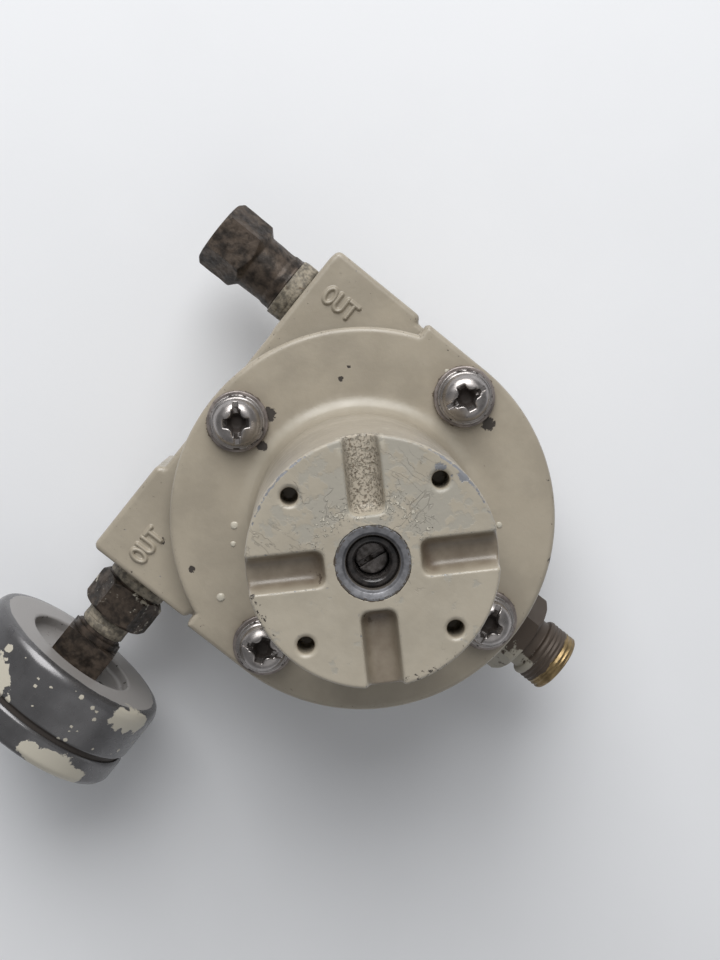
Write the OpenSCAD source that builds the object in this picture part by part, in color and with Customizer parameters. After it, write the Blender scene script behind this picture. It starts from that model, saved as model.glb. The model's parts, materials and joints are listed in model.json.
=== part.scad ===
// Diaphragm-operated diverter valve with a pressure-set bonnet and a gauge.
// Origin: centre of the base face. +Z runs up the bonnet, +X out of the inlet.

/* [Body] */
// Height of the body, from the base face to the diaphragm joint
body_h = 38.8; // [36:0.1:46]
// Distance from the axis to the wall that holds the outlet port
side_wall = 39; // [38:0.1:40]
// Distance from the axis to the proud faces of the two square corners
corner_face = 40.5; // [40:0.1:41.5]
// Width of each square corner along the side walls
corner_w = 22.5; // [22:0.5:26]
// Width of the gauge's corner along its port's face
gauge_corner_w = 25; // [24:0.5:28]
// Height of the body's underside, outside the round base
slab_z = 10; // [8:0.5:12]
// Radius of the round base
base_r = 25; // [23:0.5:30]
// Height of the three ports' axes above the base
port_z = 23; // [22:0.5:24]
// Distance from the axis to the outlet ports' axes
outlet_offset = 28; // [26:0.5:30]
// Distance from the axis to the inlet port's face
inlet_face = 37; // [36:0.5:44]
// Radius of the ports' taper threads
port_thread_r = 6.58; // [5:0.01:7]
// Distance between the two fixing holes in the base
base_hole_gap = 36; // [34:0.5:40]
// Radius of the fixing holes in the base, before tapping
base_hole_r = 2.1; // [1.6:0.05:2.5]
// Depth of the fixing holes in the base
base_hole_d = 8; // [6:0.5:9.6]

/* [Bonnet] */
// Radius of the bonnet's flange
flange_r = 40; // [38:0.1:48]
// Thickness of the bonnet's flange
flange_t = 6; // [5:0.1:7.2]
// Height of the tower above the flange
tower_h = 54; // [50:0.5:65]
// Radius of the tower's top face
tower_r = 21.8; // [21:0.1:26.2]
// Growth of the tower's radius from its top to its foot
tower_draft = 0.7; // [0:0.1:1]
// Radius of the fillet at the tower's foot
foot_fillet = 3.4; // [2:0.1:4]
// Radius of the spring chamber inside the tower
chamber_r = 17.75; // [17:0.05:18]
// Thickness of the tower's top
roof_t = 12; // [10:0.5:14.4]
// Width of the four radial slots in the top face
slot_w = 5.6; // [4:0.1:7]
// Depth of the four radial slots
slot_d = 3.5; // [2:0.1:5]
// Distance from the axis to the slots' inner ends
slot_in = 9.2; // [8:0.1:11]
// Radius of the circle of bracket holes in the top face
bracket_ring_r = 18.2; // [17:0.1:19]
// Radius of the bracket holes
bracket_hole_r = 1.5; // [1.25:0.05:1.8]
// Depth of the bracket holes
bracket_hole_d = 8; // [6:0.5:9.6]

/* [Fasteners] */
// Radius of the circle that the flange screws stand on
screw_ring_r = 33; // [32.5:0.1:34]
// Radius of the flange screws' shanks
screw_r = 3; // [2.5:0.1:3.2]
// Radius of the flange screws' pan heads
screw_head_r = 5.25; // [4.5:0.05:5.6]
// Height of the flange screws' pan heads
screw_head_h = 3.6; // [3:0.1:4.3]
// Length of screw held in the body
screw_grip = 7.8; // [6:0.1:8]
// Radius of the flat washers
washer_r = 6.4; // [6:0.1:6.6]
// Thickness of the flat washers
washer_t = 1.2; // [0.8:0.1:1.6]
// Thickness of the spring washers
spring_washer_t = 1.5; // [1:0.1:1.8]

/* [Adjuster] */
// Radius of the bush in the tower's top
bush_r = 6.5; // [6.4:0.1:7.8]
// Length of the bush
bush_h = 18; // [16:0.5:20]
// Radius of the recess above the lock ring
recess_r = 4.65; // [4.2:0.05:5]
// Depth of the lock ring's top below the top face
lock_ring_depth = 2; // [1.7:0.1:3]
// Height of the lock ring
lock_ring_h = 5.5; // [4:0.5:6]
// Radius of the adjusting screw
adjuster_r = 3; // [2.5:0.1:3.2]
// Length of the adjusting screw
adjuster_h = 19.2; // [17:0.1:21]
// Depth of the adjusting screw's end below the top face
adjuster_depth = 6.6; // [6:0.1:8]
// Radial clearance of the adjusting screw and of the poppet's guide
running_gap = 0.05; // [0.02:0.01:0.1]

/* [Diaphragm] */
// Thickness of the rubber diaphragm
diaphragm_t = 1.2; // [1:0.1:2]
// Radius of the pressure chamber below the diaphragm
pressure_r = 27; // [25:0.5:28]
// Radius of the two diaphragm plates
plate_r = 16; // [14:0.5:16.5]
// Thickness of each diaphragm plate
plate_t = 1.5; // [1:0.1:2]
// Wire diameter of the range spring
range_wire = 3; // [2:0.1:3.2]
// Mean radius of the range spring
range_mean_r = 13.8; // [12:0.1:14.2]
// Turns of the range spring
range_turns = 6; // [4:0.5:6.5]

/* [Valve] */
// Radius of the two valve seats
seat_r = 9; // [8:0.1:9.4]
// Radius of the passage through each seat
seat_bore_r = 4.8; // [4.4:0.1:5]
// Height of each seat
seat_h = 4.3; // [3.5:0.1:5]
// Height of each seat's lip
lip_h = 1; // [0.6:0.1:1.2]
// Radius of the inlet chamber between the seats
inlet_chamber_r = 8; // [7.5:0.1:8.5]
// Radius of the poppet
poppet_r = 6.2; // [5.8:0.1:6.6]
// Lift of the poppet from one seat to the other
poppet_lift = 1.6; // [1:0.1:2]
// Radius of the bottom plug
plug_r = 10.5; // [10:0.1:12.6]
// Depth of the bottom plug's face above the base face
plug_recess = 0.8; // [0.5:0.1:1]
// Height of the bottom plug
plug_h = 8; // [7:0.1:8.5]
// Wire diameter of the return spring
return_wire = 0.6; // [0.4:0.05:0.8]

/* [Fittings] */
// Width across flats of the inlet fitting's hexagon
inlet_hex = 17; // [15:0.5:20.4]
// Radius of the inlet fitting's outer thread
inlet_end_r = 7; // [6:0.1:7.5]
// Length of the inlet fitting outside the port
inlet_len = 20; // [18:0.5:24]
// Radius of the bore through the inlet fitting
inlet_bore_r = 4; // [3:0.1:4.5]
// Width across flats of the outlet adaptor's hexagon
outlet_hex = 14; // [13.5:0.5:16.8]
// Length of the outlet adaptor outside the port
outlet_len = 22.9; // [20:0.1:27.5]
// Length of the outlet adaptor's hexagon
outlet_hex_h = 9.7; // [8:0.1:11.5]
// Radius of the threaded bore in the outlet adaptor's end
outlet_bore_r = 4.3; // [4:0.05:5.2]
// Depth of the threaded bore in the outlet adaptor's end
outlet_bore_d = 9; // [7:0.5:10]
// Depth that each fitting screws into its port
thread_in = 10; // [8:0.5:12]
// Thickness of the sealing tape on a thread
tape_t = 0.35; // [0.2:0.05:0.5]

/* [Gauge] */
// Radius of the gauge's case
gauge_r = 21.8; // [19:0.1:22]
// Distance from the port's face to the back of the case
gauge_back = 23.5; // [22:0.5:26]
// Length of the case's plain barrel
barrel_h = 12.5; // [12:0.5:15]
// Length of the bezel
bezel_h = 6.8; // [6:0.1:8]
// Width of the groove between the barrel and the bezel
bezel_gap = 1.2; // [0.8:0.1:1.6]
// Wall of the case and the bezel
case_t = 1; // [0.8:0.1:1.2]
// Radius of the well in the back of the case
well_r = 13; // [11:0.5:14]
// Width across flats of the gauge bushing's hexagon
bushing_hex = 14; // [13.5:0.5:17]
// Width of the square on the gauge's socket
square_w = 12; // [10:0.5:13]
// Radius of the gauge's stem thread
stem_r = 4.86; // [4:0.02:5]
// Mean radius of the Bourdon tube
tube_r = 15.5; // [15:0.1:16.5]
// Module of the gauge's small gears
gear_module = 0.2; // [0.18:0.01:0.21]

/* [Hidden] */
$fn = 64;
eps = 0.01;

// Heights of the clamped joint and the tower
flange_z = body_h + diaphragm_t;
flange_top = flange_z + flange_t;
tower_top = flange_top + tower_h;
roof_z = tower_top - roof_t;
tower_foot_r = tower_r + tower_draft;
flat_end_x = -15;
bonnet_relief_h = 2.5;
bonnet_neck_h = 8;

// Body's edge inside the flange's, and the boss under the inlet
body_inset = 0.6;
inlet_boss_w = 24;
inlet_boss_t = 8;

// Valve stack, from the pressure chamber down
chamber_floor = body_h - 4;
upper_seat_z = chamber_floor - seat_h;
inlet_chamber_h = 13;
lower_seat_top = upper_seat_z - inlet_chamber_h;
lower_seat_z = lower_seat_top - seat_h;
poppet_z = lower_seat_top + lip_h;
poppet_h = inlet_chamber_h - 2 * lip_h - poppet_lift;
poppet_top = poppet_z + poppet_h;
face_t = 1;
poppet_core_r = 3;
tail_r = 2;
plug_top = plug_recess + plug_h;
pocket_z = plug_top - 2.3;
guide_z = plug_recess + 2.4;
tail_z = guide_z + 0.6;
groove_z = plug_recess + 3.2;
groove_h = 2;
groove_d = 1.3;
return_mean_r = 3.3;

// Passages inside the body
inlet_passage_r = 3.5;
outlet_passage_r = 2.5;

// Diaphragm group
lower_plate_z = body_h - plate_t;
upper_plate_z = flange_z;
spring_foot_z = upper_plate_z + plate_t;
stem_thread_r = 2.5;
stem_collar_t = 1.3;
nut_w = 8;
nut_h = 4;
locating_ring_r = range_mean_r - range_wire / 2 - 0.4;

// Adjuster group
bush_z = tower_top - bush_h;
lock_ring_z = tower_top - lock_ring_depth - lock_ring_h;
countersink_r = bush_r - 0.15;
countersink_d = 1.6;
adjuster_top = tower_top - adjuster_depth;
adjuster_tip = adjuster_top - adjuster_h;
seat_disc_t = 2.5;
seat_boss_h = 2;
seat_socket_d = 1.5;
seat_disc_z = adjuster_tip - seat_boss_h - seat_disc_t + seat_socket_d;
range_spring_h = seat_disc_z - spring_foot_z;

// Gauge stack, measured from the port's face outwards
bushing_hex_z = 4.5;
bushing_end = bushing_hex_z + 8;
square_z = gauge_back - 4.5;
well_floor = gauge_back + 2.7;
inner_nut_z = well_floor + case_t;
socket_top = gauge_back + 8;
barrel_end = gauge_back + barrel_h;
bezel_z = barrel_end + bezel_gap;
gauge_front = bezel_z + bezel_h;
neck_r = gauge_r - case_t + 0.1;
neck_end = barrel_end + 4;
gasket_t = 0.8;
glass_t = 2;
plate_gap = 0.1;
back_plate_z = socket_top + plate_gap;
movement_t = 0.7;
gear_z = back_plate_z + movement_t + 0.3;
gear_t = 0.8;
front_plate_z = gear_z + 1.8;
dial_z = front_plate_z + movement_t;
dial_t = 0.4;
pointer_z = dial_z + 2;
arbor_r = 0.5;
pinion_teeth = 10;
sector_ratio = 9;
pinion_pitch_r = gear_module * pinion_teeth / 2;
sector_pitch_r = pinion_pitch_r * sector_ratio;
pivot_y = -(pinion_pitch_r + sector_pitch_r);
pillar_r = 0.9;
pillar_screw_r = 0.5;
pillar_y = [4.2, pivot_y - 2.6];
tail_arm = 4;
tail_turn = -20;
tip_turn = 20;
tube_sweep = 250;
tube_w = 1.6;
tube_d = 3.6;
tip_proud = 0.15;
link_pin_r = 0.4;
link_z = gear_z + gear_t + 0.05;
link_t = 0.45;
tail_pin = [tail_arm * cos(tail_turn), pivot_y + tail_arm * sin(tail_turn)];
tip_pin = [tube_r * cos(tip_turn), tube_r * sin(tip_turn)];

// ---------------------------------------------------------------- shared shapes

// A tube between two radii
module ring(outer, inner, h) {
    difference() {
        cylinder(r = outer, h = h);
        translate([0, 0, -1]) cylinder(r = inner, h = h + 2);
    }
}

// A hexagonal prism by its width across flats, corners up and down
module hexagon(across, h) {
    cylinder(r = across / sqrt(3), h = h, $fn = 6);
}

// Children at each of the four flange screws
module at_screws() {
    for (turn = [0:90:270]) rotate(turn) translate([screw_ring_r, 0, 0]) children();
}

// Children with their Z axis along a port's axis, starting at its face
module at_inlet() {
    translate([inlet_face, 0, port_z]) rotate([0, 90, 0]) children();
}

module at_outlet() {
    translate([-side_wall, outlet_offset, port_z]) rotate([0, -90, 0]) children();
}

module at_gauge() {
    translate([-outlet_offset, -corner_face, port_z]) rotate([90, 0, 0]) children();
}

// A straight hole between two points
module drilling(from, to, r) {
    way = to - from;
    reach = norm(way);
    translate(from)
        rotate([0, acos(way[2] / reach), atan2(way[1], way[0])])
            cylinder(r = r, h = reach, $fn = 32);
}

// A round-wire spring with closed ends, standing on z = 0
module coil_spring(mean_r, wire, h, turns) {
    sides = 8;
    steps = 20;
    rings = round(turns * steps);
    rise = h - wire;
    // The end turns lie flat, and the rest climb evenly
    function climb(t) = let (lead = 0.75 / turns)
        t < lead ? 0 : t > 1 - lead ? 1 : (t - lead) / (1 - 2 * lead);
    points = [for (i = [0:rings], j = [0:sides - 1])
        let (t = i / rings, turn = 360 * turns * t, a = 360 * j / sides)
        [(mean_r + wire / 2 * cos(a)) * cos(turn),
         (mean_r + wire / 2 * cos(a)) * sin(turn),
         wire / 2 + rise * climb(t) + wire / 2 * sin(a)]];
    walls = [for (i = [0:rings - 1], j = [0:sides - 1])
        let (k = (j + 1) % sides)
        [i * sides + j, i * sides + k, (i + 1) * sides + k, (i + 1) * sides + j]];
    start = [for (j = [0:sides - 1]) sides - 1 - j];
    end = [for (j = [0:sides - 1]) rings * sides + j];
    polyhedron(points = points, faces = concat([start], walls, [end]));
}

// A flat bar with round ends between two points
module link_bar(from, to, r, h) {
    way = to - from;
    translate([from[0], from[1], 0]) cylinder(r = r, h = h, $fn = 32);
    translate([to[0], to[1], 0]) cylinder(r = r, h = h, $fn = 32);
    translate([from[0], from[1], 0]) rotate(atan2(way[1], way[0]))
        translate([0, -r, 0]) cube([norm(way), 2 * r, h]);
}

// ---------------------------------------------------------------- body and bonnet

// The body's outline: round towards the inlet, with a flat at its port, and square towards the outlets
module body_outline() {
    difference() {
        circle(r = flange_r - body_inset, $fn = 96);
        translate([inlet_face, -flange_r]) square(2 * flange_r);
    }
    translate([-side_wall, -side_wall]) square([side_wall, 2 * side_wall]);
    translate([-side_wall, corner_face - corner_w]) square(corner_w);
    translate([-corner_face, -corner_face]) square([gauge_corner_w, corner_w]);
}

module flange_outline() {
    circle(r = flange_r, $fn = 96);
    translate([flat_end_x, -flange_r]) square([-flat_end_x, 2 * flange_r]);
}

module valve_body() {
    color("#a39b8b") difference() {
        union() {
            translate([0, 0, slab_z]) linear_extrude(body_h - slab_z) body_outline();
            cylinder(r = base_r, h = slab_z + eps);
            translate([inlet_face - inlet_boss_t, -inlet_boss_w / 2, slab_z])
                cube([inlet_boss_t, inlet_boss_w, port_z - slab_z + inlet_boss_w / 2]);
        }
        valve_stack_bores();
        port_bores();
        at_screws() translate([0, 0, body_h - screw_grip]) cylinder(r = screw_r, h = screw_grip + 1);
        for (side = [-1, 1]) translate([0, side * base_hole_gap / 2, -1])
            cylinder(r = base_hole_r, h = base_hole_d + 1, $fn = 32);
    }
}

module valve_stack_bores() {
    translate([0, 0, chamber_floor]) cylinder(r = pressure_r, h = body_h - chamber_floor + 1);
    translate([0, 0, upper_seat_z]) cylinder(r = seat_r, h = seat_h + 1);
    translate([0, 0, lower_seat_top - 1]) cylinder(r = inlet_chamber_r, h = inlet_chamber_h + 2);
    translate([0, 0, plug_top - 1]) cylinder(r = seat_r, h = lower_seat_top - plug_top + 1);
    translate([0, 0, -1]) cylinder(r = plug_r, h = plug_top + 1);
}

module port_bores() {
    at_inlet() {
        translate([0, 0, -thread_in]) cylinder(r = port_thread_r, h = thread_in + 1);
        translate([0, 0, -inlet_face + inlet_chamber_r / 2]) cylinder(r = inlet_passage_r, h = inlet_face);
    }
    at_outlet() translate([0, 0, -thread_in]) cylinder(r = port_thread_r, h = thread_in + 1);
    at_gauge() translate([0, 0, -thread_in]) cylinder(r = port_thread_r, h = thread_in + 1);
    // The outlet's way up to the pressure chamber, and the gauge port's way to the plug's chamber
    drilling([-side_wall + thread_in - 3, outlet_offset, port_z],
             [-pressure_r / 2, pressure_r / 2, body_h - 1], outlet_passage_r);
    drilling([-outlet_offset, -corner_face + thread_in - 3, port_z],
             [-seat_r / 2, -seat_r / 2, (plug_top + lower_seat_z) / 2], outlet_passage_r / 1.4);
}

module bonnet() {
    slot_len = tower_foot_r;
    color("#aca494") difference() {
        union() {
            translate([0, 0, flange_z]) linear_extrude(flange_t) flange_outline();
            tower();
        }
        spring_chamber();
        translate([0, 0, roof_z - 1]) cylinder(r = bush_r, h = roof_t + 2);
        for (turn = [0:90:270]) rotate(turn) {
            translate([bracket_ring_r, 0, tower_top - bracket_hole_d])
                cylinder(r = bracket_hole_r, h = bracket_hole_d + 1, $fn = 32);
            rotate(45) translate([slot_in, -slot_w / 2, tower_top - slot_d])
                cube([slot_len, slot_w, slot_d + 1]);
        }
        at_screws() translate([0, 0, flange_z - 1]) cylinder(r = screw_r + 0.3, h = flange_t + 2);
        // Vent of the spring chamber
        rotate(-45) translate([chamber_r - 1, 0, flange_top + 12])
            rotate([0, 90, 0]) cylinder(r = 1, h = tower_foot_r, $fn = 24);
    }
}

// The tower, with its draft and the fillet at its foot
module tower() {
    foot_z = flange_top + foot_fillet;
    fillet = [for (a = [0:15:90])
        [tower_foot_r + foot_fillet * (1 - sin(a)), flange_top + foot_fillet * (1 - cos(a))]];
    rotate_extrude($fn = 96)
        polygon(concat([[0, flange_z + 1], [tower_foot_r + foot_fillet, flange_z + 1]], fillet,
                       [[tower_r, tower_top], [0, tower_top]]));
}

// The space for the spring, wide where the diaphragm works
module spring_chamber() {
    rotate_extrude($fn = 96)
        polygon([[0, flange_z - 1], [pressure_r, flange_z - 1], [pressure_r, flange_z + bonnet_relief_h],
                 [pressure_r - 4, flange_z + bonnet_relief_h], [chamber_r, flange_z + bonnet_neck_h],
                 [chamber_r, roof_z], [0, roof_z]]);
}

module diaphragm() {
    color("#232323") translate([0, 0, body_h]) difference() {
        linear_extrude(diaphragm_t) difference() {
            flange_outline();
            circle(r = stem_thread_r + 0.3);
        }
        at_screws() translate([0, 0, -1]) cylinder(r = screw_r + 0.3, h = diaphragm_t + 2);
    }
}

// ---------------------------------------------------------------- flange fasteners

module flange_screws() {
    head_z = flange_top + washer_t + spring_washer_t;
    shank = head_z - body_h + screw_grip;
    slot = 1;
    depth = 0.6 * screw_head_h;
    color("#6b6765") at_screws() translate([0, 0, head_z]) difference() {
        union() {
            translate([0, 0, -shank]) cylinder(r = screw_r, h = shank);
            rotate_extrude() polygon([[0, 0], [screw_head_r, 0], [screw_head_r, 0.5 * screw_head_h],
                                      [0.9 * screw_head_r, 0.8 * screw_head_h],
                                      [0.6 * screw_head_r, screw_head_h], [0, screw_head_h]]);
        }
        for (turn = [0, 90]) rotate(turn)
            translate([-0.55 * screw_head_r, -slot, screw_head_h - depth])
                cube([1.1 * screw_head_r, 2 * slot, depth + 1]);
    }
}

module spring_washers() {
    color("#5c5856") at_screws() translate([0, 0, flange_top + washer_t])
        ring(screw_head_r + 0.4, screw_r + 0.2, spring_washer_t);
}

module flat_washers() {
    color("#6d6562") at_screws() translate([0, 0, flange_top])
        ring(washer_r, screw_r + 0.3, washer_t);
}

// ---------------------------------------------------------------- adjuster

module adjuster_bush() {
    top = tower_top;
    color("#9b9c9c") rotate_extrude()
        polygon([[adjuster_r + running_gap, bush_z], [bush_r, bush_z], [bush_r, top], [countersink_r, top],
                 [recess_r, top - countersink_d], [recess_r, lock_ring_z],
                 [adjuster_r + running_gap, lock_ring_z]]);
}

module lock_ring() {
    color("#1e1e1e") translate([0, 0, lock_ring_z])
        ring(recess_r, adjuster_r + running_gap, lock_ring_h);
}

module adjusting_screw() {
    chamfer = 0.55;
    color("#5b5552") translate([0, 0, adjuster_tip]) difference() {
        rotate_extrude()
            polygon([[0, 0], [0.5 * adjuster_r, 0], [0.65 * adjuster_r, chamfer], [0.65 * adjuster_r, 1.8],
                     [adjuster_r, 2.6], [adjuster_r, adjuster_h - 2 * chamfer],
                     [adjuster_r - chamfer, adjuster_h], [0, adjuster_h]]);
        rotate(70) translate([-adjuster_r, -0.45, adjuster_h - 1.2]) cube([2 * adjuster_r, 0.9, 2]);
    }
}

module upper_spring_seat() {
    color("#b7a46a") translate([0, 0, seat_disc_z]) difference() {
        union() {
            cylinder(r = chamber_r - 0.75, h = seat_disc_t);
            cylinder(r = adjuster_r + 3, h = seat_disc_t + seat_boss_h);
            translate([0, 0, -2]) cylinder(r = locating_ring_r, h = 2 + eps);
        }
        translate([0, 0, seat_disc_t + seat_boss_h - seat_socket_d])
            cylinder(r = 0.65 * adjuster_r + 0.35, h = seat_socket_d + 1);
        // Breather holes, so that the seat doesn't trap air
        for (turn = [0:120:240]) rotate(turn) translate([8, 0, -3]) cylinder(r = 1.2, h = 8, $fn = 24);
    }
}

module range_spring() {
    color("#4a4a4c") translate([0, 0, spring_foot_z])
        coil_spring(range_mean_r, range_wire, range_spring_h, range_turns);
}

// ---------------------------------------------------------------- diaphragm group

module upper_diaphragm_plate() {
    color("#a9abad") translate([0, 0, upper_plate_z]) {
        ring(plate_r, stem_thread_r, plate_t);
        translate([0, 0, plate_t - eps]) ring(locating_ring_r, locating_ring_r - 1.6, 2);
    }
}

module lower_diaphragm_plate() {
    color("#a9abad") translate([0, 0, lower_plate_z]) ring(plate_r, stem_thread_r, plate_t);
}

module diaphragm_stem() {
    collar_z = lower_plate_z - stem_collar_t;
    color("#b08d4a") {
        translate([0, 0, poppet_top]) cylinder(r = tail_r, h = collar_z - poppet_top + eps);
        translate([0, 0, collar_z]) cylinder(r = stem_thread_r + 2.5, h = stem_collar_t);
        translate([0, 0, lower_plate_z - eps])
            cylinder(r = stem_thread_r, h = spring_foot_z + nut_h + 1 - lower_plate_z);
    }
}

module stem_nut() {
    color("#8f9092") translate([0, 0, spring_foot_z]) difference() {
        hexagon(nut_w, nut_h);
        translate([0, 0, -1]) cylinder(r = stem_thread_r, h = nut_h + 2);
    }
}

// ---------------------------------------------------------------- double valve

// A seat with its lip standing up from the top face
module seat_ring() {
    lip_w = 0.8;
    ring(seat_r, seat_bore_r, seat_h);
    translate([0, 0, seat_h - eps]) ring(seat_bore_r + lip_w, seat_bore_r, lip_h + eps);
}

module upper_seat() {
    color("#c09a4e") translate([0, 0, upper_seat_z + seat_h]) mirror([0, 0, 1]) seat_ring();
}

module lower_seat() {
    color("#c09a4e") translate([0, 0, lower_seat_z]) seat_ring();
}

module poppet() {
    color("#b08d4a") {
        translate([0, 0, poppet_z]) cylinder(r = poppet_core_r, h = poppet_h);
        translate([0, 0, poppet_z + face_t]) cylinder(r = poppet_r, h = poppet_h - 2 * face_t);
        translate([0, 0, tail_z]) cylinder(r = tail_r, h = poppet_z - tail_z + eps);
    }
}

module poppet_faces() {
    color("#1d1d1d") for (z = [poppet_z, poppet_top - face_t])
        translate([0, 0, z]) ring(poppet_r, poppet_core_r, face_t);
}

module return_spring() {
    color("#7c7d80") translate([0, 0, pocket_z])
        coil_spring(return_mean_r, return_wire, poppet_z - pocket_z, 8);
}

module bottom_plug() {
    drive_w = 2;
    color("#b8955a") difference() {
        translate([0, 0, plug_recess]) cylinder(r = plug_r, h = plug_h);
        translate([0, 0, pocket_z]) cylinder(r = return_mean_r + 1, h = plug_h);
        translate([0, 0, guide_z]) cylinder(r = tail_r + running_gap, h = plug_h);
        translate([0, 0, groove_z]) ring(plug_r + 1, plug_r - groove_d, groove_h);
        translate([-plug_r - 1, -drive_w / 2, 0]) cube([2 * plug_r + 2, drive_w, plug_recess + 1.4]);
    }
}

module bottom_plug_o_ring() {
    color("#202020") translate([0, 0, groove_z + groove_h / 2])
        rotate_extrude() translate([plug_r - groove_d / 2, 0]) circle(r = groove_d / 2, $fn = 24);
}

// ---------------------------------------------------------------- fittings

module inlet_fitting() {
    hex_z = 4;
    hex_h = 6;
    neck_z = hex_z + hex_h;
    color("#8a7350") at_inlet() difference() {
        union() {
            translate([0, 0, -thread_in]) cylinder(r = port_thread_r, h = thread_in + hex_z + eps);
            translate([0, 0, hex_z]) hexagon(inlet_hex, hex_h);
            translate([0, 0, neck_z - eps]) cylinder(r = inlet_end_r - 1, h = 3.5);
            translate([0, 0, neck_z + 3]) cylinder(r = inlet_end_r, h = inlet_len - neck_z - 3);
        }
        translate([0, 0, -thread_in - 1]) cylinder(r = inlet_bore_r, h = thread_in + inlet_len + 2);
    }
}

module inlet_tape() {
    color("#d8cfb8") at_inlet() translate([0, 0, 0.2]) ring(port_thread_r + tape_t, port_thread_r, 3.6);
}

module outlet_adaptor() {
    shank_z = 4.5;
    hex_z = outlet_len - outlet_hex_h;
    color("#5d4c3d") at_outlet() difference() {
        union() {
            translate([0, 0, -thread_in]) cylinder(r = port_thread_r, h = thread_in + shank_z + eps);
            translate([0, 0, shank_z]) cylinder(r = port_thread_r - 0.13, h = hex_z - shank_z + eps);
            translate([0, 0, hex_z]) hexagon(outlet_hex, outlet_hex_h);
        }
        translate([0, 0, -thread_in - 1]) cylinder(r = outlet_passage_r, h = thread_in + outlet_len + 2);
        translate([0, 0, outlet_len - outlet_bore_d]) cylinder(r = outlet_bore_r, h = outlet_bore_d + 1);
    }
}

module outlet_tape() {
    color("#cdc3ad") at_outlet() translate([0, 0, 0.2]) ring(port_thread_r + tape_t, port_thread_r, 4);
}

module gauge_bushing() {
    color("#4c443a") at_gauge() difference() {
        union() {
            translate([0, 0, -thread_in]) cylinder(r = port_thread_r, h = thread_in + bushing_hex_z + eps);
            translate([0, 0, bushing_hex_z]) hexagon(bushing_hex, bushing_end - bushing_hex_z);
        }
        translate([0, 0, -thread_in - 1]) cylinder(r = outlet_passage_r, h = thread_in + bushing_end + 2);
        translate([0, 0, bushing_hex_z - 1]) cylinder(r = stem_r, h = bushing_end);
    }
}

module gauge_bushing_tape() {
    color("#c9c0a8") at_gauge() translate([0, 0, 0.2]) ring(port_thread_r + tape_t, port_thread_r, 4);
}

// ---------------------------------------------------------------- gauge

module gauge_socket() {
    stem_start = bushing_hex_z - 1;
    color("#3d3730") at_gauge() difference() {
        union() {
            translate([0, 0, stem_start]) cylinder(r = stem_r, h = square_z - stem_start + eps);
            translate([0, 0, square_z - 1.5]) cylinder(r = stem_r + 0.6, h = 1.5 + eps);
            translate([-square_w / 2, -square_w / 2, square_z])
                cube([square_w, square_w, well_floor - square_z]);
            translate([0, 0, well_floor - eps]) cylinder(r = stem_r, h = case_t + 2 * eps);
            translate([0, 0, inner_nut_z]) cylinder(r = stem_r + 2, h = 1);
            translate([-3, -tube_r - tube_w, inner_nut_z]) cube([6, tube_r + tube_w + 3, socket_top - inner_nut_z]);
            // Bridge that carries the movement
            translate([-4, pivot_y - 3, socket_top - eps]) cube([8, 8, plate_gap + eps]);
        }
        translate([0, 0, stem_start - 1]) cylinder(r = 1.5, h = inner_nut_z - stem_start);
    }
}

module gauge_stem_tape() {
    color("#bdb59f") at_gauge() translate([0, 0, bushing_end + 0.2]) ring(stem_r + tape_t, stem_r, 4);
}

module gauge_case() {
    r = gauge_r;
    rim = 1.2;
    color("#8b8a8c") at_gauge() rotate_extrude($fn = 96)
        polygon([[stem_r + 0.05, well_floor], [well_r - case_t, well_floor], [well_r - case_t, gauge_back],
                 [r - rim, gauge_back], [r, gauge_back + rim], [r, barrel_end], [neck_r, barrel_end],
                 [neck_r, neck_end], [neck_r - case_t, neck_end], [neck_r - case_t, barrel_end - case_t],
                 [r - case_t, barrel_end - case_t], [r - case_t, gauge_back + rim + 0.4],
                 [r - rim - 0.4, gauge_back + case_t], [well_r, gauge_back + case_t],
                 [well_r, well_floor + case_t], [stem_r + 0.05, well_floor + case_t]]);
}

module gauge_bezel() {
    r = gauge_r;
    lip_z = neck_end + gasket_t + glass_t;
    color("#7e7c7c") at_gauge() rotate_extrude($fn = 96)
        polygon([[neck_r, bezel_z], [r, bezel_z], [r, gauge_front - 0.8], [r - 0.8, gauge_front],
                 [r - 3.4, gauge_front], [r - 3.4, lip_z], [neck_r, lip_z]]);
}

module gauge_glass() {
    color("#cfe0e4", 0.4) at_gauge() translate([0, 0, neck_end + gasket_t])
        cylinder(r = neck_r - 0.1, h = glass_t, $fn = 96);
}

module gauge_gasket() {
    color("#262626") at_gauge() translate([0, 0, neck_end]) ring(neck_r - 0.1, neck_r - 2.4, gasket_t);
}

module gauge_dial() {
    color("#e9e7df") at_gauge() translate([0, 0, dial_z]) difference() {
        cylinder(r = neck_r - case_t - 0.2, h = dial_t, $fn = 96);
        translate([0, 0, -1]) cylinder(r = 1.2, h = 3, $fn = 32);
        for (y = pillar_y) translate([0, y, -1]) cylinder(r = pillar_screw_r, h = 3, $fn = 24);
    }
}

// Screws that hold the dial and the movement to their pillars
module gauge_dial_screws() {
    color("#a08a58") at_gauge() for (y = pillar_y) translate([0, y, 0]) {
        translate([0, 0, front_plate_z - 0.6]) cylinder(r = pillar_screw_r, h = 0.6 + movement_t + dial_t + eps, $fn = 24);
        translate([0, 0, dial_z + dial_t]) cylinder(r = 1, h = 0.5, $fn = 24);
    }
}

module bourdon_tube() {
    depth_z = socket_top - 0.2 - tube_d;
    color("#b8954a") at_gauge() {
        translate([0, 0, depth_z]) rotate(tip_turn) rotate_extrude(angle = tube_sweep, $fn = 96)
            translate([tube_r - tube_w / 2, 0]) square([tube_w, tube_d]);
        // Closed tip with the link's pin
        translate([tip_pin[0], tip_pin[1], depth_z - tip_proud]) {
            cylinder(r = 1.3, h = tube_d + 2 * tip_proud, $fn = 24);
            translate([0, 0, tube_d]) cylinder(r = link_pin_r, h = link_z + link_t + 0.3 - depth_z - tube_d, $fn = 24);
        }
    }
}

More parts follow.
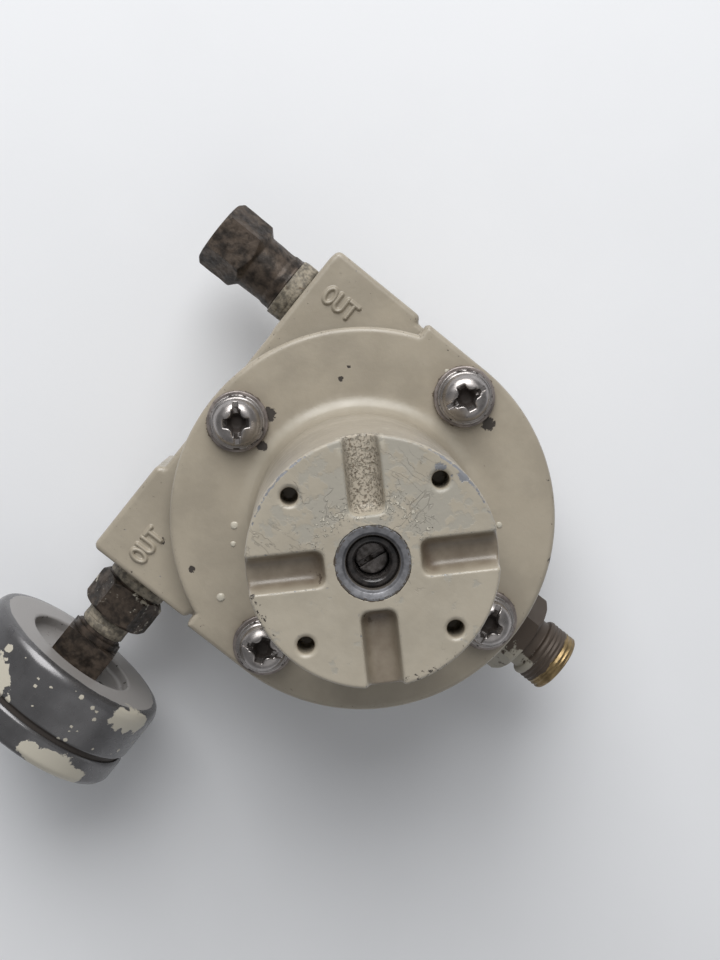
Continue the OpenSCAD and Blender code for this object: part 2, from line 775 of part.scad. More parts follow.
module tip_link() {
    color("#c3a35c") at_gauge() translate([0, 0, link_z]) difference() {
        link_bar(tail_pin, tip_pin, 1, link_t);
        for (p = [tail_pin, tip_pin]) translate([p[0], p[1], -1])
            cylinder(r = link_pin_r + 0.05, h = 3, $fn = 24);
    }
}

// A plate of the movement, with holes for both arbors and both pillars
module movement_plate() {
    difference() {
        link_bar([0, 2.7], [0, pivot_y - 1.2], 3.4, movement_t);
        for (y = [0, pivot_y]) translate([0, y, -1]) cylinder(r = arbor_r + 0.05, h = 3, $fn = 24);
        for (y = pillar_y) translate([0, y, -1]) cylinder(r = pillar_screw_r, h = 3, $fn = 24);
    }
}

module movement_back_plate() {
    color("#c9aa62") at_gauge() translate([0, 0, back_plate_z]) movement_plate();
}

module movement_front_plate() {
    color("#c9aa62") at_gauge() translate([0, 0, front_plate_z]) movement_plate();
}

module movement_pillars() {
    foot = back_plate_z + movement_t;
    color("#b8954a") at_gauge() for (y = pillar_y) translate([0, y, 0]) difference() {
        union() {
            translate([0, 0, foot]) cylinder(r = pillar_r, h = front_plate_z - foot, $fn = 24);
            translate([0, 0, back_plate_z]) cylinder(r = pillar_screw_r, h = movement_t + eps, $fn = 24);
        }
        translate([0, 0, front_plate_z - 0.6]) cylinder(r = pillar_screw_r, h = 1, $fn = 24);
    }
}

module sector_gear() {
    teeth = 10;
    step = 360 / (pinion_teeth * sector_ratio);
    from = 90 - (teeth - 2) * step;
    rim_from = from - step / 2;
    rim_to = from + (teeth - 0.5) * step;
    root = sector_pitch_r - 1.15 * gear_module;
    color("#c9aa62") at_gauge() translate([0, pivot_y, 0]) {
        translate([0, 0, gear_z]) linear_extrude(gear_t) {
            difference() {
                circle(r = 1.4, $fn = 24);
                circle(r = arbor_r / 2, $fn = 24);
            }
            polygon(concat([[-0.6, 0], [0.6, 0]],
                [for (i = [0:8]) let (a = rim_from + (rim_to - rim_from) * i / 8) root * [cos(a), sin(a)]]));
            for (i = [0:teeth - 1]) tooth(sector_pitch_r, from + i * step, step);
        }
        translate([0, 0, gear_z]) linear_extrude(gear_t)
            rotate(tail_turn) translate([0, -0.7]) square([tail_arm + 0.6, 1.4]);
        translate([tail_arm * cos(tail_turn), tail_arm * sin(tail_turn), gear_z])
            cylinder(r = link_pin_r, h = link_z + link_t + 0.2 - gear_z, $fn = 24);
        translate([0, 0, back_plate_z]) cylinder(r = arbor_r, h = dial_z - back_plate_z, $fn = 24);
    }
}

// One slim straight-sided tooth on a pitch circle, from below its root to its tip
module tooth(pitch_r, turn, step) {
    tip = pitch_r + 0.75 * gear_module;
    root = pitch_r - 1.4 * gear_module;
    polygon([for (p = [[root, -0.2], [tip, -0.08], [tip, 0.08], [root, 0.2]])
        let (a = turn + p[1] * step) p[0] * [cos(a), sin(a)]]);
}

module pointer_pinion() {
    step = 360 / pinion_teeth;
    color("#b08d4a") at_gauge() {
        translate([0, 0, gear_z]) linear_extrude(gear_t) {
            circle(r = pinion_pitch_r - 1.15 * gear_module, $fn = 24);
            for (i = [0:pinion_teeth - 1]) tooth(pinion_pitch_r, -90 + (i + 0.5) * step, step);
        }
        translate([0, 0, back_plate_z]) cylinder(r = arbor_r, h = pointer_z + 1 - back_plate_z, $fn = 24);
    }
}

module hairspring() {
    turns = 3;
    wire = 0.14;
    inner = arbor_r;
    outer = pillar_y[0] - pillar_r + wire;
    steps = turns * 24 + 6;
    function spiral(i, side) = let (a = 360 * turns * i / (turns * 24))
        (inner + (outer - inner) * i / steps + side * wire / 2) * [cos(a), sin(a)];
    color("#8fa0b5") at_gauge() translate([0, 0, front_plate_z - 0.5])
        linear_extrude(0.3)
            polygon(concat([for (i = [0:steps]) spiral(i, 1)], [for (i = [steps:-1:0]) spiral(i, -1)]));
}

module gauge_pointer() {
    start = 225;
    color("#1a1a1a") at_gauge() translate([0, 0, pointer_z]) difference() {
        union() {
            cylinder(r = 2, h = 0.6, $fn = 32);
            rotate(start) linear_extrude(0.4)
                polygon([[-6, -0.9], [-6, 0.9], [2, 0.6], [15, 0.15], [15, -0.15], [2, -0.6]]);
        }
        translate([0, 0, -1]) cylinder(r = arbor_r, h = 3, $fn = 24);
    }
}

// ---------------------------------------------------------------- drawing

valve_body();
bonnet();
diaphragm();
flange_screws();
spring_washers();
flat_washers();
adjuster_bush();
lock_ring();
adjusting_screw();
upper_spring_seat();
range_spring();
upper_diaphragm_plate();
lower_diaphragm_plate();
diaphragm_stem();
stem_nut();
upper_seat();
lower_seat();
poppet();
poppet_faces();
return_spring();
bottom_plug();
bottom_plug_o_ring();
inlet_fitting();
inlet_tape();
outlet_adaptor();
outlet_tape();
gauge_bushing();
gauge_bushing_tape();
gauge_socket();
gauge_stem_tape();
gauge_case();
gauge_bezel();
gauge_glass();
gauge_gasket();
gauge_dial();
gauge_dial_screws();
bourdon_tube();
tip_link();
movement_back_plate();
movement_front_plate();
movement_pillars();
sector_gear();
pointer_pinion();
hairspring();
gauge_pointer();
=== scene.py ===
"""Looks of a diaphragm-operated diverter valve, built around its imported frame.

Every length below is in millimetres in the frame's own axes, and is turned into metres
where a mesh is made. +Z runs up the bonnet and +X out of the inlet.
"""

import json
import math
from types import SimpleNamespace

import bpy
import numpy as np
from bpy.props import FloatProperty, FloatVectorProperty, IntProperty, PointerProperty
from mathutils import Matrix, Vector

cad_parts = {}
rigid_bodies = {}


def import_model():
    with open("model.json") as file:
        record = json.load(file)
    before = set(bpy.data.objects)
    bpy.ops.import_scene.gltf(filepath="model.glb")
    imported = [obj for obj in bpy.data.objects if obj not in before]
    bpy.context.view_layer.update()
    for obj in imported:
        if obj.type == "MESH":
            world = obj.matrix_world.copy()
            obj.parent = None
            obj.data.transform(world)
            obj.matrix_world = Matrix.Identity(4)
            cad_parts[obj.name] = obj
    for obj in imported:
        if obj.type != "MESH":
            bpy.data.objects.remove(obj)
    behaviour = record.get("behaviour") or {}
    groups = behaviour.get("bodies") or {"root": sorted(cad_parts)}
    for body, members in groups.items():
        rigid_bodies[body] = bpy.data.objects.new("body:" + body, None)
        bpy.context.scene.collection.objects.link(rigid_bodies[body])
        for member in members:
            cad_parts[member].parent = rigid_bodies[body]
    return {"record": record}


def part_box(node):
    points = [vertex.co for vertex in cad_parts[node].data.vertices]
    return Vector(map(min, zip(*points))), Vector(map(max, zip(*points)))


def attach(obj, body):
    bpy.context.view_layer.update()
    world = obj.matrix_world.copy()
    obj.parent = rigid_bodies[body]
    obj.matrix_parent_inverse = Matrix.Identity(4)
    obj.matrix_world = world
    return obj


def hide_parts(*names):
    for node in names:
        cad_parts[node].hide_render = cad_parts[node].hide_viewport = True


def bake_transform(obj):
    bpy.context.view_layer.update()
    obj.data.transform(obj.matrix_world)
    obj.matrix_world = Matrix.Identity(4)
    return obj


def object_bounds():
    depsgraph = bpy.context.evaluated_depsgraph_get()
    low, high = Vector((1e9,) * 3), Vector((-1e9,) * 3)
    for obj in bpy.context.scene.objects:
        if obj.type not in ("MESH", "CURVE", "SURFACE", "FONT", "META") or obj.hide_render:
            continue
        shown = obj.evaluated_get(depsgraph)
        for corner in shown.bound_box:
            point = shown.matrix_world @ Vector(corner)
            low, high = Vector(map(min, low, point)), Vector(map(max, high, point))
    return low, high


bl_info = {
    "name": "Diverter valve",
    "version": (1, 0, 0),
    "blender": (4, 5, 0),
    "location": "View3D > Sidebar > Valve",
    "description": "Builds the castings, fittings, fasteners and gauge of a diverter valve",
    "category": "Object",
}

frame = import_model()
CAD_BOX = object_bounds()
MM = 0.001
TAU = 2 * math.pi


def corners(node):
    """Lowest and highest corner of a frame node, in millimetres."""
    low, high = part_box(node)
    return np.array(low) / MM, np.array(high) / MM


BODY_LO, BODY_HI = corners("valve_body")
BONNET_LO, BONNET_HI = corners("bonnet")
WASHER_LO, WASHER_HI = corners("flat_washers")
SPRING_WASHER_LO, SPRING_WASHER_HI = corners("spring_washers")
SCREW_LO, SCREW_HI = corners("flange_screws")
BUSH_LO, BUSH_HI = corners("adjuster_bush")
LOCK_LO, LOCK_HI = corners("lock_ring")
ADJUSTER_LO, ADJUSTER_HI = corners("adjusting_screw")
INLET_LO, INLET_HI = corners("inlet_fitting")
INLET_TAPE_LO = corners("inlet_tape")[0]
OUTLET_LO, OUTLET_HI = corners("outlet_adaptor")
OUTLET_TAPE_HI = corners("outlet_tape")[1]
BUSHING_LO = corners("gauge_bushing")[0]
SOCKET_HI = corners("gauge_socket")[1]
CASE_LO, CASE_HI = corners("gauge_case")
BEZEL_LO, BEZEL_HI = corners("gauge_bezel")

FLANGE_R = BONNET_HI[0]
FLANGE_Z = BONNET_LO[2]
FLANGE_TOP = WASHER_LO[2]
TOWER_TOP = BONNET_HI[2]
BODY_TOP = BODY_HI[2]
INLET_FACE = INLET_TAPE_LO[0] - 0.2
OUTLET_FACE = -(OUTLET_TAPE_HI[0] + 0.2)
GAUGE_FACE = -BODY_LO[1]
PORT_Z = (INLET_LO[2] + INLET_HI[2]) / 2
OUTLET_Y = (OUTLET_LO[1] + OUTLET_HI[1]) / 2
GAUGE_X = (CASE_LO[0] + CASE_HI[0]) / 2


# ------------------------------------------------------------------ sizes and colours


def colour(name, text, value):
    return FloatVectorProperty(name=name, description=text, default=value, min=0, max=1, subtype="COLOR")


def vector(name, text, value):
    return FloatVectorProperty(name=name, description=text, default=value, subtype="XYZ")


def length(name, text, value):
    return FloatProperty(name=name, description=text, default=value * MM, precision=5, subtype="DISTANCE")


class CastingSettings(bpy.types.PropertyGroup):
    """Sizes of the two painted castings."""

    tower_r: length("Tower radius", "Radius of the tower's top face", 21.8)
    tower_draft: length("Tower draft", "Growth of the tower's radius down to its foot", 0.7)
    foot_fillet: length("Foot fillet", "Reach of the fillet where the tower meets the flange", 4.6)
    chamber_r: length("Chamber radius", "Radius of the spring chamber", 17.75)
    roof_t: length("Roof", "Thickness of the tower's top", 12.0)
    slot_in: length("Slot start", "Distance from the axis to the slots' inner ends", 9.0)
    slot_half: length("Slot half width", "Half the width of a slot's floor", 2.35)
    slot_draft: FloatProperty(name="Slot draft", description="Outward lean of the slots' walls", default=0.24)
    slot_d: length("Slot depth", "Depth of the slots in the top face", 3.5)
    bracket_ring_r: length("Bracket circle", "Radius of the circle of bracket holes", 18.2)
    bracket_hole_r: length("Bracket hole", "Radius of the bracket holes", 1.5)
    screw_ring_r: length("Screw circle", "Radius of the circle of flange screws", 33.0)
    edge: length("Edge softness", "Softness of the castings' outer edges", 1.3)
    letter_h: length("Letter height", "Height of the raised port letters", 4.3)
    letter_stroke: length("Letter stroke", "Half width of the letters' strokes", 0.47)
    letter_rise: length("Letter rise", "Height that the letters stand proud", 0.6)
    fine_step: length("Fine step", "Grid step over the top face", 0.4)
    coarse_step: length("Coarse step", "Grid step over plain surfaces", 0.66)


class FittingSettings(bpy.types.PropertyGroup):
    """Sizes of the screws and pipe fittings."""

    head_r: length("Screw head radius", "Radius of a flange screw's head", 5.25)
    shank_r: length("Screw shank radius", "Radius of a flange screw's shank", 3.0)
    pipe_pitch: length("Pipe pitch", "Pitch of the taper pipe threads", 1.337)
    thread_depth: length("Thread depth", "Depth of the pipe threads", 0.42)
    adjuster_pitch: length("Adjuster pitch", "Pitch of the adjusting screw", 1.0)
    inlet_hex: length("Inlet hexagon", "Width across flats at the inlet", 17.0)
    outlet_hex: length("Outlet hexagon", "Width across flats at the outlet", 14.0)
    bushing_hex: length("Bushing hexagon", "Width across flats of the gauge bushing", 14.0)
    sides: IntProperty(name="Sides", description="Steps round a turned piece", default=192, min=48)


class PaintSettings(bpy.types.PropertyGroup):
    """Colours of the finishes."""

    cream: colour("Cream paint", "Paint of the castings", (0.338, 0.297, 0.232))
    # cream_light also tints the painted highlight on the bonnet
    cream_light: colour("Light cream", "Fresh, thick paint", (0.50, 0.465, 0.385))
    # grime also tints the painted shade on the bonnet
    grime: colour("Grime", "Dirt in corners and slots", (0.085, 0.062, 0.042))
    primer: colour("Bare casting", "Grey metal under chipped paint", (0.24, 0.245, 0.262))
    steel: colour("Aged steel", "Screws and washers", (0.30, 0.28, 0.27))
    bare: colour("Turned bush", "Bare face of the adjuster bush", (0.36, 0.36, 0.38))
    brass: colour("Clean brass", "Fresh brass", (0.36, 0.26, 0.13))
    dark_brass: colour("Dark brass", "Oxidised brass of the fittings", (0.088, 0.066, 0.050))
    tape: colour("Thread tape", "Aged sealing tape", (0.30, 0.262, 0.20))
    case_grey: colour("Case grey", "Paint of the gauge case", (0.24, 0.235, 0.24))


class StageSettings(bpy.types.PropertyGroup):
    """Camera and floor."""

    eye: vector("Eye", "Place of the camera", (-31.77, 24.73, 340.87))
    aim: vector("Aim", "Point in the middle of the view", (-5.88, 6.28, 46.0))
    up: vector("Up", "Direction that is up in the view", (-0.6234, 0.7785, -0.1029))
    lens: FloatProperty(name="Lens", description="Focal length for a 36 mm long side", default=54.0,
                        unit="CAMERA")
    floor: colour("Floor", "Colour of the floor", (0.80, 0.81, 0.83))


def sizes(group):
    """The group's values by name, with its lengths in millimetres."""
    found = {}
    for key in group.__annotations__:
        value, unit = getattr(group, key), group.bl_rna.properties[key].unit
        found[key] = value / MM if unit == "LENGTH" else value
    return SimpleNamespace(**found)


# ------------------------------------------------------------------ meshes


def new_object(name, points, faces, material, attributes=None, normals=None, smooth=True):
    """Object whose mesh has these points, in millimetres, and faces as an index array."""
    mesh = bpy.data.meshes.new(name)
    rings = faces if isinstance(faces, list) else faces.tolist()
    mesh.from_pydata(np.asarray(points, float) * MM, [], rings)
    mesh.validate()
    mesh.update()
    mesh.polygons.foreach_set("use_smooth", np.full(len(mesh.polygons), smooth))
    for key, values in (attributes or {}).items():
        layer = mesh.attributes.new(key, "FLOAT", "POINT")
        layer.data.foreach_set("value", np.asarray(values, np.float32))
    if normals is not None:
        mesh.normals_split_custom_set_from_vertices(normals.astype(np.float32).tolist())
    mesh.materials.append(material)
    made = bpy.data.objects.new(name, mesh)
    bpy.context.scene.collection.objects.link(made)
    return made


def outwards(points, faces):
    """The faces turned so that the volume they close is positive: the sum of the signed
    tetrahedra from the middle of the piece to each face."""
    middle = points.mean(0)
    a, b, c = (points[faces[:, i]] - middle for i in range(3))
    d = points[faces[:, -1]] - middle
    signed = np.einsum("ij,ij->i", a, np.cross(b, c)) + np.einsum("ij,ij->i", a, np.cross(c, d))
    return faces if signed.sum() > 0 else faces[:, ::-1]


def loop_faces(rows, columns, closed_rows=False):
    """Quads of a grid of rows x columns whose columns close on themselves, as index arrays."""
    i = np.arange(rows if closed_rows else rows - 1)[:, None]
    j = np.arange(columns)[None, :]
    here, ahead, beside = i * columns, (i + 1) % rows * columns, (j + 1) % columns
    quads = np.stack(np.broadcast_arrays(here + j, here + beside, ahead + beside, ahead + j), -1)
    return quads.reshape(-1, 4)


def tube_faces(rows, columns):
    """Faces of a tube of rows x columns points, with one face over each open end."""
    last = (rows - 1) * columns
    ends = [list(range(columns))[::-1], list(range(last, last + columns))]
    return loop_faces(rows, columns).tolist() + ends


def join(parts):
    """Points and faces of several closed meshes as one pair of arrays."""
    offset = np.cumsum([0] + [len(p) for p, _ in parts[:-1]])
    faces = np.concatenate([f + o for (_, f), o in zip(parts, offset)])
    return np.concatenate([p for p, _ in parts]), faces


def soften(points, reach, closed, steps=3):
    """A polyline with each corner replaced by a quadratic curve that starts `reach` before the
    corner and ends `reach` after it, or half way along a shorter side."""
    p = np.asarray(points, float)
    before, after = np.roll(p, 1, 0) - p, np.roll(p, -1, 0) - p
    lb = np.linalg.norm(before, axis=1, keepdims=True)
    la = np.linalg.norm(after, axis=1, keepdims=True)
    cut = np.minimum(reach, np.minimum(lb, la) * 0.45)
    start, end = p + before / lb * cut, p + after / la * cut
    t = np.linspace(0, 1, steps + 1)[None, :, None]
    curve = (1 - t) ** 2 * start[:, None] + 2 * t * (1 - t) * p[:, None] + t**2 * end[:, None]
    if closed:
        return curve.reshape(-1, 2)
    return np.concatenate([p[:1], curve[1:-1].reshape(-1, 2), p[-1:]])


def resample(points, step, closed):
    """The same polyline with extra points so that no side is longer than step."""
    p = np.asarray(points, float)
    ends = np.roll(p, -1, 0) if closed else p[1:]
    starts = p if closed else p[:-1]
    count = np.maximum(np.ceil(np.linalg.norm(ends - starts, axis=1) / step).astype(int), 1)
    which = np.repeat(np.arange(len(count)), count)
    share = np.arange(len(which)) - np.repeat(np.cumsum(count) - count, count)
    out = starts[which] + (ends - starts)[which] * (share / count[which])[:, None]
    return out if closed else np.concatenate([out, p[-1:]])


def turned(profile, sides, shape=None, closed=False, soft=0.15, step=None):
    """A turned piece: each profile point (radius, height) goes round the axis at `sides` angles,
    and shape(radius, height, angle) may change its radius, as a hexagon or a thread does.
    An open profile starts and ends on the axis and is closed by a fan there."""
    line = soften(profile, soft, closed)
    if step:
        line = resample(line, step, closed)
    if not closed:
        line = line[1:-1]
    rows = len(line)
    angle = np.broadcast_to(np.arange(sides) * TAU / sides, (rows, sides))
    r, z = (np.repeat(line[:, k][:, None], sides, 1) for k in (0, 1))
    if shape:
        r = shape(r, z, angle)
    points = np.stack([r * np.cos(angle), r * np.sin(angle), z], -1).reshape(-1, 3)
    faces = loop_faces(rows, sides, closed)
    if not closed:
        tips = [[0, 0, profile[0][1]], [0, 0, profile[-1][1]]]
        points = np.concatenate([points, np.array(tips, float)])
        j, n = np.arange(sides), rows * sides
        k = (j + 1) % sides
        first, last = np.full(sides, n), np.full(sides, n + 1)
        bottom = np.stack([k, j, first, first], -1)
        top = np.stack([n - sides + j, n - sides + k, last, last], -1)
        faces = np.concatenate([faces, bottom, top])
    return points, outwards(points, faces)


def as_lists(faces):
    """Faces as lists, with a quad whose last two corners are one point made a triangle."""
    return [list(dict.fromkeys(f)) for f in faces.tolist()]


def swept(path, section):
    """A section, as points (sideways, upwards), carried along an open path: at each path point it
    lies across the tangent, with +Z fixing what is up."""
    p = np.asarray(path, float)
    tangent = np.gradient(p, axis=0)
    tangent /= np.linalg.norm(tangent, axis=1, keepdims=True)
    side = np.cross(tangent, (0.0, 0.0, 1.0))
    side /= np.linalg.norm(side, axis=1, keepdims=True)
    up = np.cross(side, tangent)
    points = p[:, None] + side[:, None] * section[None, :, :1] + up[:, None] * section[None, :, 1:]
    return points.reshape(-1, 3), tube_faces(len(p), len(section))


def round_section(r, sides=12):
    a = np.arange(sides) * TAU / sides
    return np.stack([r * np.cos(a), r * np.sin(a)], 1)


# ------------------------------------------------------------------ places of the three ports


def at_inlet(p):
    return np.stack([INLET_FACE + p[:, 2], p[:, 1], PORT_Z - p[:, 0]], 1)


def at_outlet(p):
    return np.stack([-OUTLET_FACE - p[:, 2], OUTLET_Y + p[:, 1], PORT_Z + p[:, 0]], 1)


def at_gauge(p):
    return np.stack([GAUGE_X + p[:, 0], -GAUGE_FACE - p[:, 2], PORT_Z + p[:, 1]], 1)


# ------------------------------------------------------------------ castings as distance fields


def smooth_min(a, b, reach):
    """The smaller of two distances, blended by a parabola where they differ by less than reach."""
    h = np.maximum(reach - np.abs(a - b), 0) / reach
    return np.minimum(a, b) - h * h * reach * 0.25


def smooth_max(a, b, reach):
    return -smooth_min(-a, -b, reach)


def box_distance(x, y, half_x, half_y, corner=0.0):
    """Distance to a rectangle round the origin with round corners."""
    qx, qy = np.abs(x) - half_x + corner, np.abs(y) - half_y + corner
    return np.hypot(np.maximum(qx, 0), np.maximum(qy, 0)) + np.minimum(np.maximum(qx, qy), 0) - corner


def between(x, y, low, high, corner=0.0):
    """Distance to the rectangle from low (x, y) to high (x, y)."""
    cx, cy = (low[0] + high[0]) / 2, (low[1] + high[1]) / 2
    return box_distance(x - cx, y - cy, (high[0] - low[0]) / 2, (high[1] - low[1]) / 2, corner)


def four_points(x, y, circle):
    """Distance from (x, y) to the nearest of four points on the X and Y axes, `circle` from the middle."""
    ax, ay = np.abs(x), np.abs(y)
    return np.hypot(np.maximum(ax, ay) - circle, np.minimum(ax, ay))


def diagonal(x, y):
    """Distances along and across the nearest of the four diagonals, where the slots lie."""
    ax, ay = np.abs(x), np.abs(y)
    return (ax + ay) / math.sqrt(2), np.abs(ax - ay) / math.sqrt(2)


def gradient(distance, p, h=0.03):
    """Slope of a distance at each point, by central differences."""
    out = np.empty_like(p)
    for k in range(3):
        step = np.zeros(3)
        step[k] = h
        out[:, k] = (distance(*(p + step).T) - distance(*(p - step).T)) / (2 * h)
    return out


def cast_mesh(distance, axes, steps=4):
    """Mesh of the zero surface of a distance field on a grid: each grid cell that the surface
    crosses gets one point at the mean of its edge crossings, four cells round each crossed grid
    edge make a quad, and the points are then moved down the field's slope on to the surface."""
    f = distance(*np.meshgrid(*axes, indexing="ij")).astype(np.float32)
    shape = np.array(f.shape)
    cells = shape - 1
    total, count = np.zeros((cells.prod(), 3)), np.zeros(cells.prod())
    quads = []
    strides = np.array([cells[1] * cells[2], cells[2], 1])
    for k in range(3):
        u, v = (k + 1) % 3, (k + 2) % 3
        low = [slice(None)] * 3
        high = [slice(None)] * 3
        low[k], high[k] = slice(0, -1), slice(1, None)
        a, b = f[tuple(low)], f[tuple(high)]
        at = np.argwhere((a < 0) != (b < 0))
        fa, fb = a[tuple(at.T)], b[tuple(at.T)]
        t = fa / (fa - fb)
        where = np.stack([axes[i][at[:, i]] for i in range(3)], 1)
        where[:, k] += t * (axes[k][at[:, k] + 1] - axes[k][at[:, k]])
        inner = (at[:, u] > 0) & (at[:, u] < cells[u]) & (at[:, v] > 0) & (at[:, v] < cells[v])
        at, where, rising = at[inner], where[inner], (fa < 0)[inner]
        ids = []
        for du, dv in ((1, 1), (0, 1), (0, 0), (1, 0)):
            cell = at.copy()
            cell[:, u] -= du
            cell[:, v] -= dv
            ids.append(cell @ strides)
        ids = np.stack(ids, 1)
        for column in ids.T:
            for i in range(3):
                total[:, i] += np.bincount(column, where[:, i], cells.prod())
            count += np.bincount(column, minlength=cells.prod())
        quads.append(np.where(rising[:, None], ids, ids[:, ::-1]))
    used = np.flatnonzero(count)
    number = np.full(cells.prod(), -1)
    number[used] = np.arange(len(used))
    points = total[used] / count[used][:, None]
    faces = number[np.concatenate(quads)]
    for _ in range(steps):
        g = gradient(distance, points)
        size = np.maximum((g * g).sum(1), 0.05)
        move = -(distance(*points.T) / size)[:, None] * g
        reach = np.linalg.norm(move, axis=1, keepdims=True)
        points += move * np.minimum(1, 0.3 / np.maximum(reach, 1e-9))
    normals = gradient(distance, points, 0.08)
    normals /= np.maximum(np.linalg.norm(normals, axis=1, keepdims=True), 1e-6)
    return points, faces, normals


def grid_axis(*stretches):
    """Grid values over stretches (from, to, step) that follow each other."""
    parts = [np.linspace(a, b, max(int(round((b - a) / s)), 1) + 1)[:-1] for a, b, s in stretches]
    return np.concatenate(parts + [[stretches[-1][1]]])


def flange_outline(x, y, inset=0.0):
    """Distance to the outline of the flange and diaphragm: a disc joined to a straight-sided strip
    on the side of the outlet ports, drawn in by inset."""
    flat_end = 15.0
    strip = between(x, y, (-flat_end + inset, -FLANGE_R + inset), (0, FLANGE_R - inset), 0.6)
    return np.minimum(np.hypot(x, y) - FLANGE_R + inset, strip)


RELIEF_R = 27.0
SCREW_WAY_R = 3.3


def bonnet_distance(s):
    """Distance field of the bonnet: a flange and a drafted tower blended at the tower's foot,
    less the spring chamber, the bush's hole, four slots and the screw and bracket holes."""
    tower_h = TOWER_TOP - FLANGE_TOP
    roof_z = TOWER_TOP - s.roof_t
    bracket_floor, vent_z, vent_r = TOWER_TOP - 8, FLANGE_TOP + 12, 1.0

    def field(x, y, z):
        r = np.hypot(x, y)
        flange = smooth_max(flange_outline(x, y), z - FLANGE_TOP, s.edge)
        flank = r - s.tower_r - s.tower_draft * (TOWER_TOP - z) / tower_h
        tower = smooth_max(flank, z - TOWER_TOP, 0.7)
        solid = np.maximum(smooth_min(flange, tower, s.foot_fillet), FLANGE_Z - z)
        chamber = np.maximum(r - s.chamber_r, z - roof_z)
        relief = np.maximum(r - RELIEF_R, z - FLANGE_Z - 2.5)
        solid = smooth_max(solid, -smooth_min(chamber, relief, 4.0), 0.3)
        solid = np.maximum(solid, BUSH_HI[0] - r)
        flare = 0.55 * np.clip((z - TOWER_TOP + 0.7) / 0.7, 0, 1) ** 2
        hole = four_points(x, y, s.bracket_ring_r) - s.bracket_hole_r - flare
        solid = smooth_max(solid, -np.maximum(hole, bracket_floor - z), 0.3)
        along, across = diagonal(x, y)
        lean = s.slot_draft * (z - TOWER_TOP + s.slot_d)
        slot = smooth_max(across - s.slot_half - lean, s.slot_in - lean - along, 1.9)
        slot = smooth_max(slot, TOWER_TOP - s.slot_d - z, 1.7)
        solid = smooth_max(solid, -slot, 0.55)
        solid = np.maximum(solid, SCREW_WAY_R - four_points(x, y, s.screw_ring_r))
        vent = np.hypot((x + y) / math.sqrt(2), z - vent_z) - vent_r
        return np.maximum(solid, -np.maximum(vent, 1 - (x - y) / math.sqrt(2)))

    return field


def body_distance(s):
    """Distance field of the valve body: a plate with two square corners over a round base, less
    the pressure chamber, the seats' bores and the three threaded ports."""
    side, corner = -OUTLET_FACE, BODY_LO[0]
    slab_z, base_r, chamber_z = 10.0, 25.0, 34.8
    upper_seat, lower_seat = corners("upper_seat"), corners("lower_seat")
    plug = corners("bottom_plug")[1]
    seat_r = upper_seat[1][0]
    port_r, port_depth = 6.2, 10.0
    way_r, waist_r, waist_z, waist_half = 3.5, 8.0, 24.0, 7.5
    fixing_y, fixing_r, fixing_depth = 18.0, 2.1, 8.0
    screw_r, screw_floor = 3, 31.0

    def field(x, y, z):
        r = np.hypot(x, y)
        outline = smooth_max(r - FLANGE_R + 0.6, x - INLET_FACE, 1.0)
        outline = np.minimum(outline, between(x, y, (side, side), (0, -side), 1.0))
        outline = smooth_min(outline, between(x, y, (side, 18.0), (-16.5, -corner), 1.4), 0.8)
        outline = smooth_min(outline, between(x, y, (corner, corner), (-15.5, -18.0), 1.4), 0.8)
        slab = smooth_max(smooth_max(outline, z - BODY_TOP, s.edge), slab_z - z, 2.2)
        base = np.maximum(smooth_max(r - base_r, -z, 0.8), z - slab_z - 6)
        solid = smooth_min(slab, base, 2.5)
        for radius, height in ((RELIEF_R, chamber_z - z), (seat_r, upper_seat[0][2] + 1 - z),
                               (waist_r, np.abs(z - waist_z) - waist_half),
                               (seat_r, z - lower_seat[1][2] + 1)):
            solid = np.maximum(solid, -np.maximum(r - radius, height))
        solid = smooth_max(solid, -np.maximum(r - plug[0], z - plug[2]), 0.4)
        inlet = np.maximum(np.hypot(y, z - PORT_Z) - port_r, INLET_FACE - port_depth - x)
        way = np.maximum(np.hypot(y, z - PORT_Z) - way_r, 4 - x)
        outlet = np.maximum(np.hypot(y - OUTLET_Y, z - PORT_Z) - port_r, x - side - port_depth)
        gauge = np.maximum(np.hypot(x - GAUGE_X, z - PORT_Z) - port_r, y - corner - port_depth)
        ports = np.minimum(np.minimum(inlet, way), np.minimum(outlet, gauge))
        solid = smooth_max(solid, -ports, 0.5)
        fixing = np.maximum(np.hypot(x, np.abs(y) - fixing_y) - fixing_r, z - fixing_depth)
        screws = np.maximum(four_points(x, y, s.screw_ring_r) - screw_r, screw_floor - z)
        return np.maximum(solid, -np.minimum(fixing, screws))

    return field


def stroke_distance(x, y, strokes):
    """Distance from (x, y) to the nearest of several straight strokes or arcs. A stroke is
    ("line", x0, y0, x1, y1) or ("arc", centre x, centre y, half width, half height, from, to)."""
    best = np.full(np.shape(x), 1e9)
    for kind, *v in strokes:
        if kind == "line":
            a, d = np.array(v[:2]), np.array(v[2:]) - np.array(v[:2])
            t = np.clip(((x - a[0]) * d[0] + (y - a[1]) * d[1]) / (d @ d), 0, 1)
            near = np.hypot(x - a[0] - t * d[0], y - a[1] - t * d[1])
        else:
            cx, cy, hx, hy, start, stop = v
            t = np.radians(np.linspace(start, stop, 49)).reshape(-1, *[1] * np.ndim(x))
            near = np.hypot(x - cx - hx * np.cos(t), y - cy - hy * np.sin(t)).min(0)
        best = np.minimum(best, near)
    return best


def out_strokes(h):
    """Strokes of the raised port letters O, U and T, with the middle of the word at the origin."""
    half, pitch, wide = h / 2, 0.79 * h, 0.3 * h
    bowl = 0.33 * h
    return [("arc", -pitch, 0, wide, half, 0, 360),
            ("line", -wide + 0.1, half, -wide + 0.1, -half + bowl),
            ("arc", 0, -half + bowl, wide - 0.1, bowl, 180, 360),
            ("line", wide - 0.1, half, wide - 0.1, -half + bowl),
            ("line", pitch - wide, half, pitch + wide, half), ("line", pitch, half, pitch, -half)]


